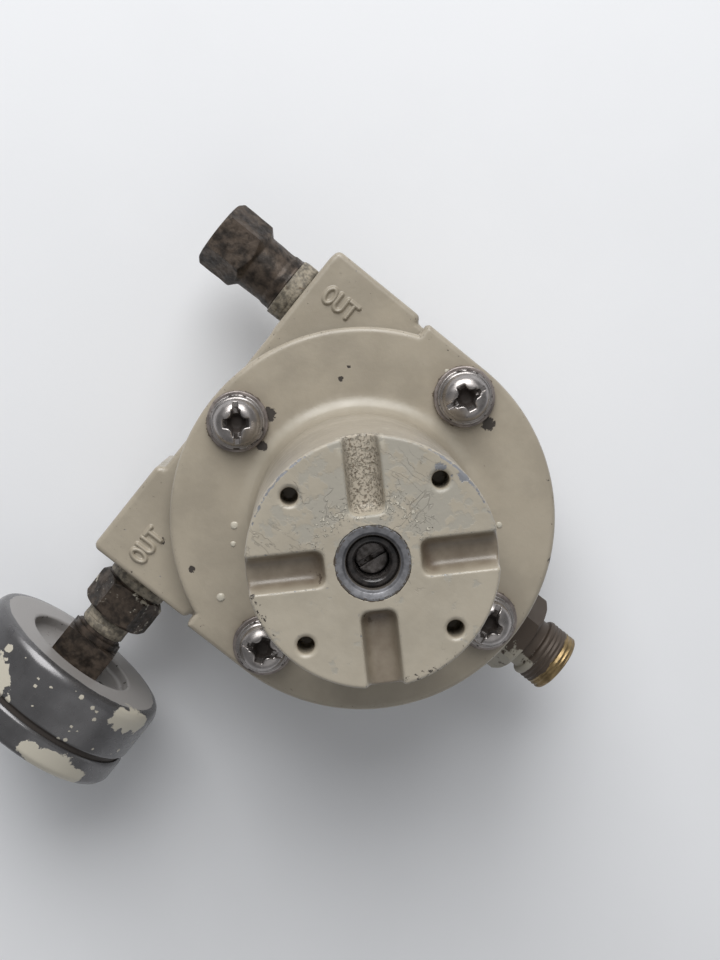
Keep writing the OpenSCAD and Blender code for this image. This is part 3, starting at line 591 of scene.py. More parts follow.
def letter_distance(s):
    """Distance field of the raised letters: strokes with soft tops and a fillet at their foot."""
    strokes = out_strokes(s.letter_h - 2 * s.letter_stroke)

    def field(x, y, z):
        across = stroke_distance(x, y, strokes)
        letters = smooth_max(across - s.letter_stroke + 0.25 * z, z - s.letter_rise, 0.45)
        sunk = np.maximum(across - 1.3, z + 0.05)
        return np.maximum(smooth_min(letters, sunk, 0.5), -0.4 - z)

    return field


# ------------------------------------------------------------------ materials


def add_node(tree, kind, inputs, **options):
    """Node of a kind with its options set and its inputs given as values or as sockets."""
    made = tree.nodes.new(kind)
    for key, value in options.items():
        setattr(made, key, value)
    for key, value in inputs.items():
        if isinstance(value, bpy.types.NodeSocket):
            tree.links.new(value, made.inputs[key])
        else:
            made.inputs[key].default_value = value
    return made


def noise(tree, size, seed=0.0, detail=3.0, roughness=0.55, stretch=(1, 1, 1)):
    """Noise whose lumps are about `size` millimetres wide."""
    where = add_node(tree, "ShaderNodeTexCoord", {}).outputs["Object"]
    moved = add_node(tree, "ShaderNodeMapping", {"Vector": where, "Location": (seed, seed * 0.7, seed * 1.3),
                                                 "Scale": stretch})
    return add_node(tree, "ShaderNodeTexNoise", {"Vector": moved.outputs[0], "Scale": 1000.0 / size,
                                                 "Detail": detail, "Roughness": roughness}).outputs[0]


def stretch_range(tree, value, low, high, to_low=0.0, to_high=1.0):
    """Value mapped smoothly from low..high to to_low..to_high and held at both ends."""
    return add_node(tree, "ShaderNodeMapRange", {0: value, 1: low, 2: high, 3: to_low, 4: to_high},
                    interpolation_type="SMOOTHSTEP").outputs[0]


def calculate(tree, operation, a, b):
    return add_node(tree, "ShaderNodeMath", {0: a, 1: b}, operation=operation).outputs[0]


def blend_colour(tree, share, a, b):
    a, b = (v if isinstance(v, bpy.types.NodeSocket) else (*v, 1.0) for v in (a, b))
    return add_node(tree, "ShaderNodeMix", {0: share, 6: a, 7: b}, data_type="RGBA").outputs[2]


def blend_value(tree, share, a, b):
    return add_node(tree, "ShaderNodeMix", {0: share, 2: a, 3: b}).outputs[0]


def attribute(tree, key):
    return add_node(tree, "ShaderNodeAttribute", {}, attribute_name=key).outputs["Fac"]


def scratch_lines(tree):
    """Share of thin scratches: the middle contours of stretched noises, where "scratch" is high."""
    amount = attribute(tree, "scratch")
    lines = 0.0
    for lump, width, ways in ((6.0, 0.009, (1, 0.4, 1)), (3.4, 0.014, (0.45, 1, 1)),
                              (9.0, 0.007, (1, 3.6, 1))):
        wave = noise(tree, lump, 22 + lump, 3.0, 0.6, ways)
        away = calculate(tree, "ABSOLUTE", calculate(tree, "SUBTRACT", wave, 0.5), 0.0)
        near = stretch_range(tree, away, width * 0.4, width, 1.0, 0.0)
        gate = calculate(tree, "ADD", amount, noise(tree, lump * 1.8, 32 + lump))
        shown = calculate(tree, "MULTIPLY", near, stretch_range(tree, gate, 0.98, 1.08))
        lines = calculate(tree, "MAXIMUM", shown, lines)
    return lines


def finish(name, low, high, patch, grain, depth, rough, metallic=0.0, zones=(), coat=0.0, fine=0.0,
           films=(), scratch=None):
    """Material that goes between two colours by a noise of `patch` mm, with a bump of `grain` mm
    lumps `depth` mm high and lumps a fifth as wide that are `fine` mm high. Each zone is
    (attribute, lump size, colour, roughness, metallic, step): it shows where its attribute plus a
    noise is over a half, and its surface stands `step` mm proud. Each film is (attribute, colour)
    and tints the paint smoothly by its attribute. Scratches have the colour `scratch`."""
    made = bpy.data.materials.new(name)
    made.use_nodes = True
    tree = made.node_tree
    shader = tree.nodes["Principled BSDF"]
    large = noise(tree, patch, 1.0, 4.0, 0.6)
    shade = blend_colour(tree, stretch_range(tree, large, 0.36, 0.64), low, high)
    roughness = stretch_range(tree, noise(tree, patch * 0.35, 4.0), 0.3, 0.7, *rough)
    height = calculate(tree, "MULTIPLY", noise(tree, grain, 6.0, 2.0), depth * MM)
    if fine:
        finer = calculate(tree, "MULTIPLY", noise(tree, grain * 0.2, 8.0, 2.0), fine * MM)
        height = calculate(tree, "ADD", height, finer)
    metal = metallic
    for key, tint in films:
        uneven = stretch_range(tree, noise(tree, 3.0, 10.0), 0.25, 0.75, 0.75, 1.25)
        share = calculate(tree, "MULTIPLY", attribute(tree, key), uneven)
        shade = blend_colour(tree, share, shade, tint)
    for number, (key, lump, tint, zone_rough, zone_metal, step) in enumerate(zones):
        spread = calculate(tree, "MULTIPLY_ADD", noise(tree, lump, 12.0 + number, 4.0, 0.62), 0.9)
        spread.node.inputs[2].default_value = -0.45
        share = stretch_range(tree, calculate(tree, "ADD", attribute(tree, key), spread), 0.46, 0.54)
        shade = blend_colour(tree, share, shade, tint)
        roughness = blend_value(tree, share, roughness, zone_rough)
        if zone_metal != metallic:
            metal = blend_value(tree, share, metal, zone_metal)
        if step:
            height = calculate(tree, "ADD", height, calculate(tree, "MULTIPLY", share, step * MM))
    if scratch:
        lines = scratch_lines(tree)
        shade = blend_colour(tree, calculate(tree, "MULTIPLY", lines, 0.32), shade, scratch)
        height = calculate(tree, "SUBTRACT", height, calculate(tree, "MULTIPLY", lines, 0.05 * MM))
    bump = add_node(tree, "ShaderNodeBump", {"Height": height, "Strength": 1.0, "Distance": 1.0})
    for socket, value in (("Base Color", shade), ("Roughness", roughness), ("Normal", bump.outputs[0])):
        tree.links.new(value, shader.inputs[socket])
    if isinstance(metal, bpy.types.NodeSocket):
        tree.links.new(metal, shader.inputs["Metallic"])
    else:
        shader.inputs["Metallic"].default_value = metal
    shader.inputs["Coat Weight"].default_value = coat
    shader.inputs["Coat Roughness"].default_value = 0.25
    return made


def shaded(tint, *shares):
    """The tint made darker or lighter: one colour, or one for each of several shares."""
    made = [tuple(v * share for v in tint) for share in shares]
    return made if len(shares) > 1 else made[0]


MATERIALS = {}


def make_materials(paint):
    """Every finish of the valve, by a plain name."""
    def add(name, *values, **more):
        MATERIALS[name] = finish(name, *values, **more)

    cream, light, grime, primer, steel, bare, brass, dark, tape, grey = (
        tuple(getattr(paint, key)) for key in PaintSettings.__annotations__)
    marks = (("grime", 2.2, grime, 0.85, 0.0, 0.0),
             ("worn", 3.0, (0.335, 0.312, 0.262), 0.5, 0.0, -0.03),
             ("flake", 0.75, shaded(light, 1.08), 0.45, 0.0, 0.16),
             ("chip", 1.1, primer, 0.45, 0.4, -0.06),
             ("crust", 0.7, (0.40, 0.355, 0.285), 0.85, 0.0, 0.16),
             ("crumb", 0.5, (0.21, 0.17, 0.125), 0.9, 0.0, -0.12),
             ("nick", 0.7, (0.035, 0.028, 0.022), 0.7, 0.0, -0.05),
             ("dab", 1.6, light, 0.42, 0.0, 0.05))
    # the film film darkens the paint as painted shade; the bloom film lightens it as a painted highlight
    add("cream_paint", *shaded(cream, 0.9, 1.06), 14.0, 1.3, 0.045, (0.30, 0.46), 0.0, marks, 0.25,
        fine=0.010, films=(("film", shaded(grime, 1.5)), ("bloom", light)), scratch=(0.12, 0.105, 0.09))
    add("fresh_paint", shaded(light, 0.85), light, 5.0, 1.0, 0.03, (0.3, 0.45), coat=0.3)
    add("aged_steel", steel, shaded(steel, 1.35), 3.2, 1.6, 0.008, (0.26, 0.38), 0.95,
        (("grime", 1.6, (0.035, 0.027, 0.023), 0.7, 0.2, 0.0),), fine=0.0015)
    add("washer_steel", (0.19, 0.165, 0.155), (0.31, 0.27, 0.25), 3.0, 0.6, 0.012, (0.3, 0.5), 0.7,
        fine=0.005)
    add("bare_bush", *shaded(bare, 0.44, 0.66), 1.6, 0.4, 0.012, (0.42, 0.6), 0.65,
        (("grime", 0.8, (0.07, 0.06, 0.05), 0.7, 0.0, 0.0),))
    add("black_ring", (0.012, 0.011, 0.011), (0.035, 0.03, 0.028), 1.4, 0.3, 0.012, (0.16, 0.36), 0.2,
        coat=0.3)
    add("screw_steel", (0.10, 0.088, 0.08), (0.23, 0.21, 0.20), 1.1, 0.4, 0.02, (0.28, 0.5), 0.7,
        (("grime", 0.7, (0.04, 0.028, 0.018), 0.85, 0.0, 0.0),))
    add("spring_steel", (0.30, 0.31, 0.33), (0.42, 0.43, 0.45), 4.0, 0.5, 0.01, (0.25, 0.4), 0.95)
    add("aluminium", (0.55, 0.56, 0.57), (0.66, 0.66, 0.66), 4.0, 0.6, 0.01, (0.3, 0.45), 0.95)
    add("clean_brass", *shaded(brass, 0.55, 0.88), 3.0, 0.5, 0.012, (0.3, 0.45), 0.9,
        (("grime", 1.8, shaded(dark, 0.95), 0.5, 0.3, 0.03),
         ("dab", 1.9, shaded(light, 0.75), 0.6, 0.0, 0.10)), fine=0.008)
    add("dark_brass", *shaded(dark, 0.24, 0.95), 2.6, 0.9, 0.06, (0.34, 0.62), 0.5,
        (("dab", 1.6, shaded(light, 0.8), 0.5, 0.0, 0.06),
         ("chip", 1.2, shaded(brass, 0.7), 0.35, 0.9, 0.0)), fine=0.01)
    add("seal_tape", *shaded(tape, 0.35, 0.95), 1.3, 0.5, 0.08, (0.5, 0.75), 0.0,
        (("grime", 1.0, shaded(grime, 1.4), 0.85, 0.0, 0.0),), fine=0.02)
    add("grey_case", *shaded(grey, 0.44, 0.58), 9.0, 0.7, 0.006, (0.24, 0.32), 0.6,
        (("pale", 3.0, (0.30, 0.285, 0.275), 0.42, 0.1, 0.0),
         ("dab", 1.7, light, 0.45, 0.0, 0.10),
         ("grime", 1.5, (0.035, 0.027, 0.022), 0.8, 0.0, 0.0)), 0.2)
    add("rubber", (0.012, 0.012, 0.012), (0.03, 0.029, 0.028), 3.0, 0.5, 0.02, (0.5, 0.75))
    add("dial_white", (0.74, 0.73, 0.69), (0.80, 0.79, 0.76), 8.0, 1.0, 0.002, (0.4, 0.5))
    add("pointer_black", (0.01, 0.01, 0.01), (0.025, 0.025, 0.025), 3.0, 0.5, 0.004, (0.3, 0.45))
    add("glass", (0.93, 0.96, 0.96), (0.97, 0.98, 0.98), 12.0, 8.0, 0.001, (0.02, 0.06))
    shader = MATERIALS["glass"].node_tree.nodes["Principled BSDF"]
    shader.inputs["Transmission Weight"].default_value = 1.0
    shader.inputs["IOR"].default_value = 1.45
    for node_object in bpy.data.objects:
        slot = slot_of(node_object.name)
        if slot:
            for holder in node_object.material_slots:
                holder.material = MATERIALS["black_ring" if slot == "black_steel" else slot]


def slot_of(name):
    for part in frame["record"]["subparts"]:
        if part["node"] == name:
            return part["material_slot"]
    return None


# ------------------------------------------------------------------ pieces


def ride(made, body, slot, *nodes):
    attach(made, body)
    if nodes:
        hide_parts(*nodes)


def piece(name, mesh, slot, *nodes, values=None, look=None, body="root", sharp=None):
    """Object of points, faces and perhaps normals that rides its body and may stand for a frame
    node. Edges sharper than the angle `sharp` are shaded as edges."""
    points, faces, *normals = mesh
    made = new_object(name, points, faces, MATERIALS[look or slot], values, *normals)
    if sharp:
        made.data.set_sharp_from_angle(angle=sharp)
    ride(made, body, slot, *nodes)
    return made


def radius_of(points):
    return np.hypot(points[:, 0], points[:, 1])


# ------------------------------------------------------------------ fittings and fasteners


def hexagon(angle, across, turn):
    """Radius limit of a hexagon: half its width across flats over the cosine of the angle from the
    middle of the nearest flat."""
    wedge = (angle + math.radians(turn)) % (math.pi / 3) - math.pi / 6
    return across / 2 / np.cos(wedge)


def thread(z, angle, start, stop, radius, depth, pitch):
    """Radius limit of a thread at (height, angle): a triangle wave along the height that shifts by
    one pitch a turn and fades in and out near both ends."""
    wave = np.abs(((z / pitch - angle / TAU) % 1.0) - 0.5) * 2
    fade = np.clip((z - start) / (pitch * 0.6), 0, 1) * np.clip((stop - z) / (pitch * 0.6), 0, 1)
    return radius - depth * wave * fade


def fitting(node, profile, place, sides, flats, threads, slot, marks):
    """A turned fitting with a bore, put at its port and made to stand for its frame node. `flats`
    is (from, to, least radius, across flats, turn) and each thread is (from, to, least radius, radius, depth,
    pitch): between those heights it limits the outer radius, and the bore keeps its own."""
    def shape(r, z, angle):
        low, high, least, across, turn = flats
        inside = (z >= low - 0.01) & (z <= high + 0.01) & (r > least)
        r = np.where(inside, np.minimum(r, hexagon(angle, across, turn)), r)
        for low, high, least, *form in threads:
            inside = (z > low) & (z < high) & (r > least)
            r = np.where(inside, np.minimum(r, thread(z, angle, low, high, *form)), r)
        return r

    points, faces = turned(profile, sides, shape, True, 0.22, 0.3)
    values = marks(points)
    outside = np.clip((radius_of(points) - 5.0) / 0.5, 0, 1) * (points[:, 2] > 4.2)
    points[:, :2] *= (1 - 0.011 * outside * (1 + lumps(points, 11, 1.6)))[:, None]
    placed = place(points)
    piece(node + "_turned", (placed, outwards(placed, faces)), slot, node, values=values, sharp=0.6)


def lumps(points, seed, size, count=7):
    """Smooth noise without a texture: the mean of sines along seeded random directions."""
    rng = np.random.default_rng(seed)
    waves = rng.normal(size=(count, 3)) / size * 2.2
    phases = rng.uniform(0, TAU, count)
    return np.sin(points @ waves.T + phases).mean(1)


def spots(points, places):
    """Largest share of several round spots (x, y, z, radius): one in the middle, a half at the rim."""
    best = np.zeros(len(points))
    for x, y, z, radius in places:
        away = np.linalg.norm(points - (x, y, z), axis=1)
        best = np.maximum(best, np.clip(1.0 - 0.5 * away / radius, 0, 1))
    return best


def head_distance(s):
    """Distance field of a pan head with its shank: a domed disc less a cross whose wings narrow
    with depth, and less a shallow slot across it."""
    tall = SCREW_HI[2] - SPRING_WASHER_HI[2]
    bottom = SCREW_LO[2] - SPRING_WASHER_HI[2]

    def field(x, y, z):
        r = np.hypot(x, y)
        dome = smooth_max(r - s.head_r + 0.42, z - tall + 0.026 * r * r, 2.6)
        collar = smooth_max(r - s.head_r, z - 0.95, 0.5)
        dome = np.maximum(smooth_min(dome, collar, 0.25), -z)
        shank = np.maximum(np.maximum(r - s.shank_r, bottom - z), z - 0.5)
        depth = np.clip(tall - z, 0, 3)
        half, span = 0.95 - 0.15 * depth, 3.0 - 0.72 * depth
        cross = smooth_min(box_distance(x, y, span, half, 0.3), box_distance(x, y, half, span, 0.3), 1.5)
        cross = smooth_max(cross, tall - 2.9 - z, 0.5)
        slot = np.maximum(box_distance(x, y, 4.2, 0.5, 0.2), tall - 1.45 - z)
        return np.minimum(smooth_max(dome, -np.minimum(cross, slot), 0.28), shank)

    return field


def turn_about_z(points, turn, centre=(0, 0, 0)):
    c, s = math.cos(turn), math.sin(turn)
    return points @ np.array([[c, s, 0], [-s, c, 0], [0, 0, 1]]) + np.asarray(centre)


def screw_places(radius, height):
    return [(radius * math.cos(a), radius * math.sin(a), height) for a in np.radians([0, 90, 180, 270])]


SLOT_TURNS = (100.0, 67.0, 131.0, 20.0)


def helix_tape(length_mm, radius, thick, turns, seed):
    """Wound sealing tape: a thin ribbon section along a helix whose width and height waver, so that
    its lapped edges show. The ribbon's ends are closed."""
    steps = int(turns * 72)
    t = np.linspace(0, 1, steps)
    a = t * turns * TAU
    wide = 1.9
    low, high = wide / 2, length_mm - wide / 2
    z = low + (high - low) * (0.5 - 0.5 * np.cos(t * math.pi * 3)) + 0.12 * np.sin(a * 0.37 + seed)
    r = radius + thick * (0.25 + 0.5 * t) + 0.05 * np.sin(a * 2.3 + seed) + 0.03 * np.sin(a * 5.1)
    profile = np.array([[-0.5, -0.3], [-0.42, 0.05], [-0.2, 0.12], [0.2, 0.1], [0.42, 0.06], [0.5, -0.3]])
    height = np.clip(z[:, None] + profile[None, :, 0] * wide, 0.02, length_mm - 0.02)
    reach = np.clip(r[:, None] + profile[None, :, 1] * thick * 2, radius + 0.02, radius + thick - 0.01)
    points = np.stack([reach * np.cos(a)[:, None], reach * np.sin(a)[:, None], height], -1)
    return points.reshape(-1, 3), tube_faces(steps, len(profile))


def spring_path(low, high, radius, wire, turns, steps=48):
    """Helix of a compression spring whose first and last turns lie flat."""
    t = np.linspace(0, 1, int(turns * steps))
    a = t * turns * TAU
    flat = 1.0 / turns
    rise = np.clip((t - flat) / (1 - 2 * flat), 0, 1)
    rise = rise * 0.92 + 0.08 * t
    z = low + wire / 2 + (high - low - wire) * rise
    return np.stack([radius * np.cos(a), radius * np.sin(a), z], 1)


# ------------------------------------------------------------------ operators, one for each piece


class ValveFinishes(bpy.types.Operator):
    """Makes every finish and gives the frame's own nodes theirs"""

    bl_idname = "valve.finishes"
    bl_label = "Finishes"

    def execute(self, context):
        make_materials(context.scene.valve_paint)
        return {"FINISHED"}


def bell(value, middle, width):
    """One at the middle, falling off on both sides as a bell curve."""
    return np.exp(-((value - middle) / width) ** 2)


def fall(value, width):
    """One up to zero, then falling off exponentially."""
    return np.exp(-np.maximum(value, 0) / width)


def most(*layers):
    return np.maximum.reduce(layers)


def tower_marks(p, s):
    """How far each bonnet point is chipped, nicked, dirty or dabbed with paint, or darkened by painted shade
    or lightened by a painted highlight, from 0 to 1. The slot at 135 degrees is the lit one, and `away` is
    the angle from it."""
    x, y, z = p.T
    r = np.hypot(x, y)
    turn = np.degrees(np.arctan2(y, x))
    away = np.abs((turn - 135 + 180) % 360 - 180)
    upper = np.clip(np.cos(np.radians(away) * 0.8), 0, 1) ** 0.6
    top, low = z > TOWER_TOP - 0.35, z < FLANGE_TOP + 1
    along, across = diagonal(x, y)
    slot = (along > 8.5) & (across < 3.6) & (z < TOWER_TOP - 0.5) & (z > TOWER_TOP - 5) & (r < 22.6)
    holes, screws = four_points(x, y, s.bracket_ring_r), four_points(x, y, s.screw_ring_r)

    def on_top(values):
        return np.where(top, values, 0)

    def on_flange(*places):
        return spots(p, [(px, py, FLANGE_TOP + lift, size) for px, py, lift, size in places])

    share = 0.30 + 0.36 * bell(turn, 85, 26) + 0.30 * bell(np.abs(turn), 175, 20)
    chip = most(bell(r, 21.45, 0.4) * (z > TOWER_TOP - 1.3) * share,
                on_top(0.38 * bell(holes, 2.0, 0.7)),
                0.8 * spots(p, [(-1.3, 19.9, TOWER_TOP, 1.0), (2.6, 21.2, TOWER_TOP, 1.2)]),
                on_top(0.42 * bell(across, 3.35, 0.35) * (r > 8)))
    border = np.where(z > TOWER_TOP - 1.3, bell(np.maximum(21.0 - r, 0), 0, 1.7), 0)
    below = np.minimum(bell(turn, -125, 30) + bell(turn, -25, 30), 1)
    span = np.maximum(r, np.where(x < 0, np.abs(y), r))
    edge = (z > FLANGE_TOP - 5.8) & (z < FLANGE_TOP + 0.4) & (span > 38.6)
    nick = most(border * (0.20 + 0.24 * below), on_top(0.21 + 0.14 * upper * bell(r, 10.5, 4.5)),
                on_flange((-28.9, 5.1, 0, 1.4), (-25.9, -0.8, 0, 1.05), (7.5, 31.8, 0, 1.3),
                          (-22, 20, 0, 0.6), (-22.2, 23, 0, 0.4), (-21.4, -29.9, 0, 0.7),
                          (13.3, -38.3, -2, 1.6), (36, 18, -1, 0.9)), np.where(edge, 0.34, 0))
    slot_dirt = 0.24 - 0.1 * bell(away, 0, 25) + 0.16 * bell(along, 9.5, 1.6)
    grime = most(np.where(slot, slot_dirt, 0), np.where(low, 0.52 * fall(screws - 6.3, 0.55), 0),
                 np.where(z < FLANGE_TOP + 0.4, 0.26, 0.12),
                 on_top(0.5 * fall(np.abs(holes - 1.6), 0.35)), on_top(0.55 * fall(r - 6.6, 0.3)),
                 0.30 * bell(r, 24.4, 1.4) * bell(z, FLANGE_TOP + 0.3, 1.0))
    crusted = slot & (z < TOWER_TOP - 1.0) & (away < 40)
    # painted shade: darkens the slots' floors, far more in the slots turned from the light, the tower's flank
    # and the flange round the screws
    film = np.where(slot, np.clip((TOWER_TOP - 0.6 - z) / 2.2, 0, 1) * np.where(away < 40, 0.08, 0.58), 0)
    film = film + np.where(slot & (away >= 40), 0.2 * bell(along, 9.8, 1.5), 0)
    film = most(film, np.where((z < TOWER_TOP - 1) & ~low & (r > 20), 0.10, 0),
                np.where(low, 0.22 * fall(screws - 6.0, 1.6), 0))
    # painted highlight: lightens the whole top face, both ends of the lit slot and the lit side of the
    # tower's foot
    lit = (along > 8) & (across < 4) & (r < 22.4) & (away < 40) & (z > TOWER_TOP - 4)
    foot = bell(r, 24.6, 1.6) * (z > FLANGE_TOP + 0.1) * (z < FLANGE_TOP + 6)
    bloom = on_top(0.24) + np.where(lit, 0.5 * (bell(along, 20.6, 1.6) + bell(along, 9.2, 1.1)), 0)
    bloom = np.clip(bloom + 0.32 * foot * np.clip(np.cos(np.radians(away)), 0, 1), 0, 0.75)
    return {"chip": chip, "nick": nick, "grime": grime, "film": film, "bloom": bloom,
            "dab": on_flange((-11.2, -20.5, 24, 2.2), (13.5, 18.6, 24, 2.0), (-11.5, 19.4, 38, 1.0)),
            "worn": on_top(0.36 + 0.20 * bell(r, 13.5, 9.0) * upper),
            "flake": on_top(0.21 + 0.26 * bell(r, 10.5, 3.6) * upper),
            "scratch": on_top(0.33 + 0.17 * bell(r, 12.0, 7.0) * upper),
            "crust": np.where(crusted, 0.56, 0), "crumb": np.where(crusted, 0.425, 0)}


class ValveBonnet(bpy.types.Operator):
    """Casts the bonnet: flange, drafted tower, slots, bracket holes and spring chamber"""

    bl_idname = "valve.bonnet"
    bl_label = "Bonnet"

    def execute(self, context):
        s = sizes(context.scene.valve_castings)
        reach, outer = 23.2, FLANGE_R + 1.2
        foot, slots = FLANGE_TOP + 1.5, TOWER_TOP - 4.6
        flat = grid_axis((-outer, -reach, s.coarse_step), (-reach, reach, s.fine_step),
                         (reach, outer, s.coarse_step))
        tall = grid_axis((FLANGE_Z - 0.9, foot, 0.5), (foot, slots, 1.8), (slots, TOWER_TOP + 0.9, 0.3))
        mesh = cast_mesh(bonnet_distance(s), (flat, flat, tall))
        piece("bonnet_casting", mesh, "cream_paint", "bonnet", values=tower_marks(mesh[0], s))
        return {"FINISHED"}


class ValveBody(bpy.types.Operator):
    """Casts the body: plate with two square corners, round base, chambers and ports"""

    bl_idname = "valve.body"
    bl_label = "Body"

    def execute(self, context):
        s = sizes(context.scene.valve_castings)
        axes = [grid_axis((low - under, high + over, s.coarse_step)) for low, high, under, over in
                zip(BODY_LO, BODY_HI, (1.0, 1.0, 0.9), (1.2, 1.0, 0.9))]
        mesh = cast_mesh(body_distance(s), axes)
        x, y, z = mesh[0].T
        rim = (z > BODY_TOP - 1.6) & (np.maximum(np.abs(x), np.abs(y)) > 36)
        ports = np.minimum(np.hypot(y, z - PORT_Z) + np.abs(x - INLET_FACE),
                           np.hypot(y - OUTLET_Y, z - PORT_Z) + np.abs(x + OUTLET_FACE))
        ports = np.minimum(ports, np.hypot(x - GAUGE_X, z - PORT_Z) + np.abs(y + GAUGE_FACE))
        pit = spots(mesh[0], [(-29.8, -30.5, BODY_TOP, 0.8)])
        values = {"nick": np.maximum(np.where(rim, 0.33, 0.1), pit),
                  "grime": 0.24 + 0.3 * fall(ports - 6.5, 2.0), "chip": np.where(rim, 0.30, 0.0)}
        piece("body_casting", mesh, "cream_paint", "valve_body", values=values)
        return {"FINISHED"}


class ValveDiaphragm(bpy.types.Operator):
    """Moulds the diaphragm: a clamped rim and a middle, joined by a roll"""

    bl_idname = "valve.diaphragm"
    bl_label = "Diaphragm"

    def execute(self, context):
        s = sizes(context.scene.valve_castings)
        low, high = corners("diaphragm")
        middle_z, half = (low[2] + high[2]) / 2, (high[2] - low[2]) / 2
        roll_in, roll_out, roll_depth = 16.4, 26.6, 3.5
        bottom_r, stem_r, flat_r = (roll_in + roll_out) / 2, 2.75, 9.0

        def level(r):
            """Height of the sheet's middle: the clamped height less a squared sine across the roll."""
            share = np.clip((r - roll_in) / (roll_out - roll_in), 0, 1)
            return middle_z - roll_depth * np.sin(math.pi * share) ** 2

        def rim(x, y, z):
            r = np.hypot(x, y)
            ways = SCREW_WAY_R - four_points(x, y, s.screw_ring_r)
            solid = np.maximum(np.abs(z - level(r)) - half, flange_outline(x, y, 0.15))
            return np.maximum(solid, np.maximum(bottom_r - r, ways))

        flat = grid_axis((-FLANGE_R - 1, FLANGE_R + 1, s.coarse_step))
        tall = grid_axis((low[2] - roll_depth - 0.7, high[2] + 0.7, 0.4))
        piece("diaphragm_rim", cast_mesh(rim, (flat, flat, tall)), "rubber", "diaphragm")
        radii = np.concatenate([[stem_r, flat_r], np.linspace(roll_in, bottom_r - 0.02, 14)])
        upper = [(r, level(r) + half) for r in radii]
        lower = [(r, level(r) - half) for r in radii[::-1]]
        made = new_object("diaphragm_middle", *turned(upper + lower, 144, None, True, 0.1, 1.0),
                          MATERIALS["rubber"])
        made.data.set_sharp_from_angle(angle=0.6)
        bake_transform(made)
        return {"FINISHED"}


class ValveLetters(bpy.types.Operator):
    """Raises the word OUT beside both outlet ports"""

    bl_idname = "valve.letters"
    bl_label = "Port letters"

    def execute(self, context):
        s = sizes(context.scene.valve_castings)
        half_w, half_h, step = s.letter_h * 1.35, s.letter_h * 0.75, 0.13
        spans = ((-half_w, half_w), (-half_h, half_h), (-0.5, 1.0))
        axes = [grid_axis((low, high, step)) for low, high in spans]
        points, faces, normals = cast_mesh(letter_distance(s), axes)
        values = {"grime": 0.40 - 0.5 * np.clip(points[:, 2], 0, 1), "dab": 0.35 * points[:, 2]}
        for name, turn, x, y in (("outlet_letters", 0.0, -31.6, 32.0),
                                 ("gauge_letters", math.pi / 2, -31.7, -33.2)):
            placed = turn_about_z(points, turn, (x, y, BODY_TOP))
            piece(name, (placed, faces, turn_about_z(normals, turn)), "cream_paint", values=values)
        return {"FINISHED"}


class ValveScrews(bpy.types.Operator):
    """Makes the four flange screws with domed, cross-cut and slotted heads"""

    bl_idname = "valve.screws"
    bl_label = "Flange screws"

    def execute(self, context):
        seat, step = SPRING_WASHER_HI[2], 0.15
        tall, bottom = SCREW_HI[2] - seat, SCREW_LO[2] - seat
        flat = grid_axis((-5.6, 5.6, step))
        axes = (flat, flat, grid_axis((bottom - 1, -0.6, 0.8), (-0.6, tall + 0.45, step)))
        points, faces, normals = cast_mesh(head_distance(sizes(context.scene.valve_fittings)), axes)
        deep = np.clip((tall - 0.9 - points[:, 2]) / 0.9, 0, 1) * (radius_of(points) < 3.3)
        dirt = np.maximum(0.02 + 0.85 * deep, 0.30 * (points[:, 2] < 0.9))
        turns = np.radians(SLOT_TURNS)
        places = screw_places(context.scene.valve_castings.screw_ring_r / MM, seat)
        mesh = join([(turn_about_z(points, a, place), faces) for place, a in zip(places, turns)])
        normals = np.concatenate([turn_about_z(normals, a) for a in turns])
        piece("flange_screw_set", (*mesh, normals), "aged_steel", "flange_screws",
              values={"grime": np.tile(dirt, len(turns))})
        return {"FINISHED"}


class ValveWashers(bpy.types.Operator):
    """Makes the flat washers and the split spring washers under the screws"""

    bl_idname = "valve.washers"
    bl_label = "Washers"

    def execute(self, context):
        rng = np.random.default_rng(7)
        ring_r = context.scene.valve_castings.screw_ring_r / MM
        hole_r, outer, thick = 3.2, WASHER_HI[0] - ring_r, WASHER_HI[2] - WASHER_LO[2]
        profile = [(hole_r, 0), (outer, 0), (outer, thick), (hole_r, thick)]
        flats = []
        for place in screw_places(ring_r, WASHER_LO[2]):
            shift = rng.uniform(0, TAU, 3)

            def wavy(r, z, a, shift=shift):
                waves = ((0.04, 3, shift[0]), (0.02, 7, shift[1]), (0.01, 13, shift[2]))
                return np.where(r > 4, r - 0.1 + sum(high * np.sin(n * a + at) for high, n, at in waves), r)

            points, faces = turned(profile, 96, wavy, True, 0.3, 0.4)
            flats.append((points + place, faces))
        piece("flat_washer_set", join(flats), "aged_steel", "flat_washers", look="washer_steel")
        outer, inner = SPRING_WASHER_HI[0] - ring_r - 0.02, 3.1
        tall = SPRING_WASHER_HI[2] - SPRING_WASHER_LO[2]
        half, middle, wide = tall / 2 - 0.12, (outer + inner) / 2, (outer - inner) / 2
        section = soften([(-wide, -half), (wide, -half), (wide, half), (-wide, half)], 0.25, True)
        a = np.linspace(0, TAU - 0.16, 80)
        points, faces, count = [], [], 0
        for place, start in zip(screw_places(ring_r, SPRING_WASHER_LO[2]), (0.6, 2.2, 4.1, 5.2)):
            path = [middle * np.cos(a + start), middle * np.sin(a + start), tall / 2 - 0.1 + 0.2 * a / TAU]
            p, f = swept(np.stack(path, 1) + place, section)
            points.append(p)
            faces += [[i + count for i in face] for face in f]
            count += len(p)
        piece("spring_washer_set", (np.concatenate(points), faces), "aged_steel", "spring_washers",
              values={"grime": np.full(count, 0.42)}, sharp=0.6)
        return {"FINISHED"}


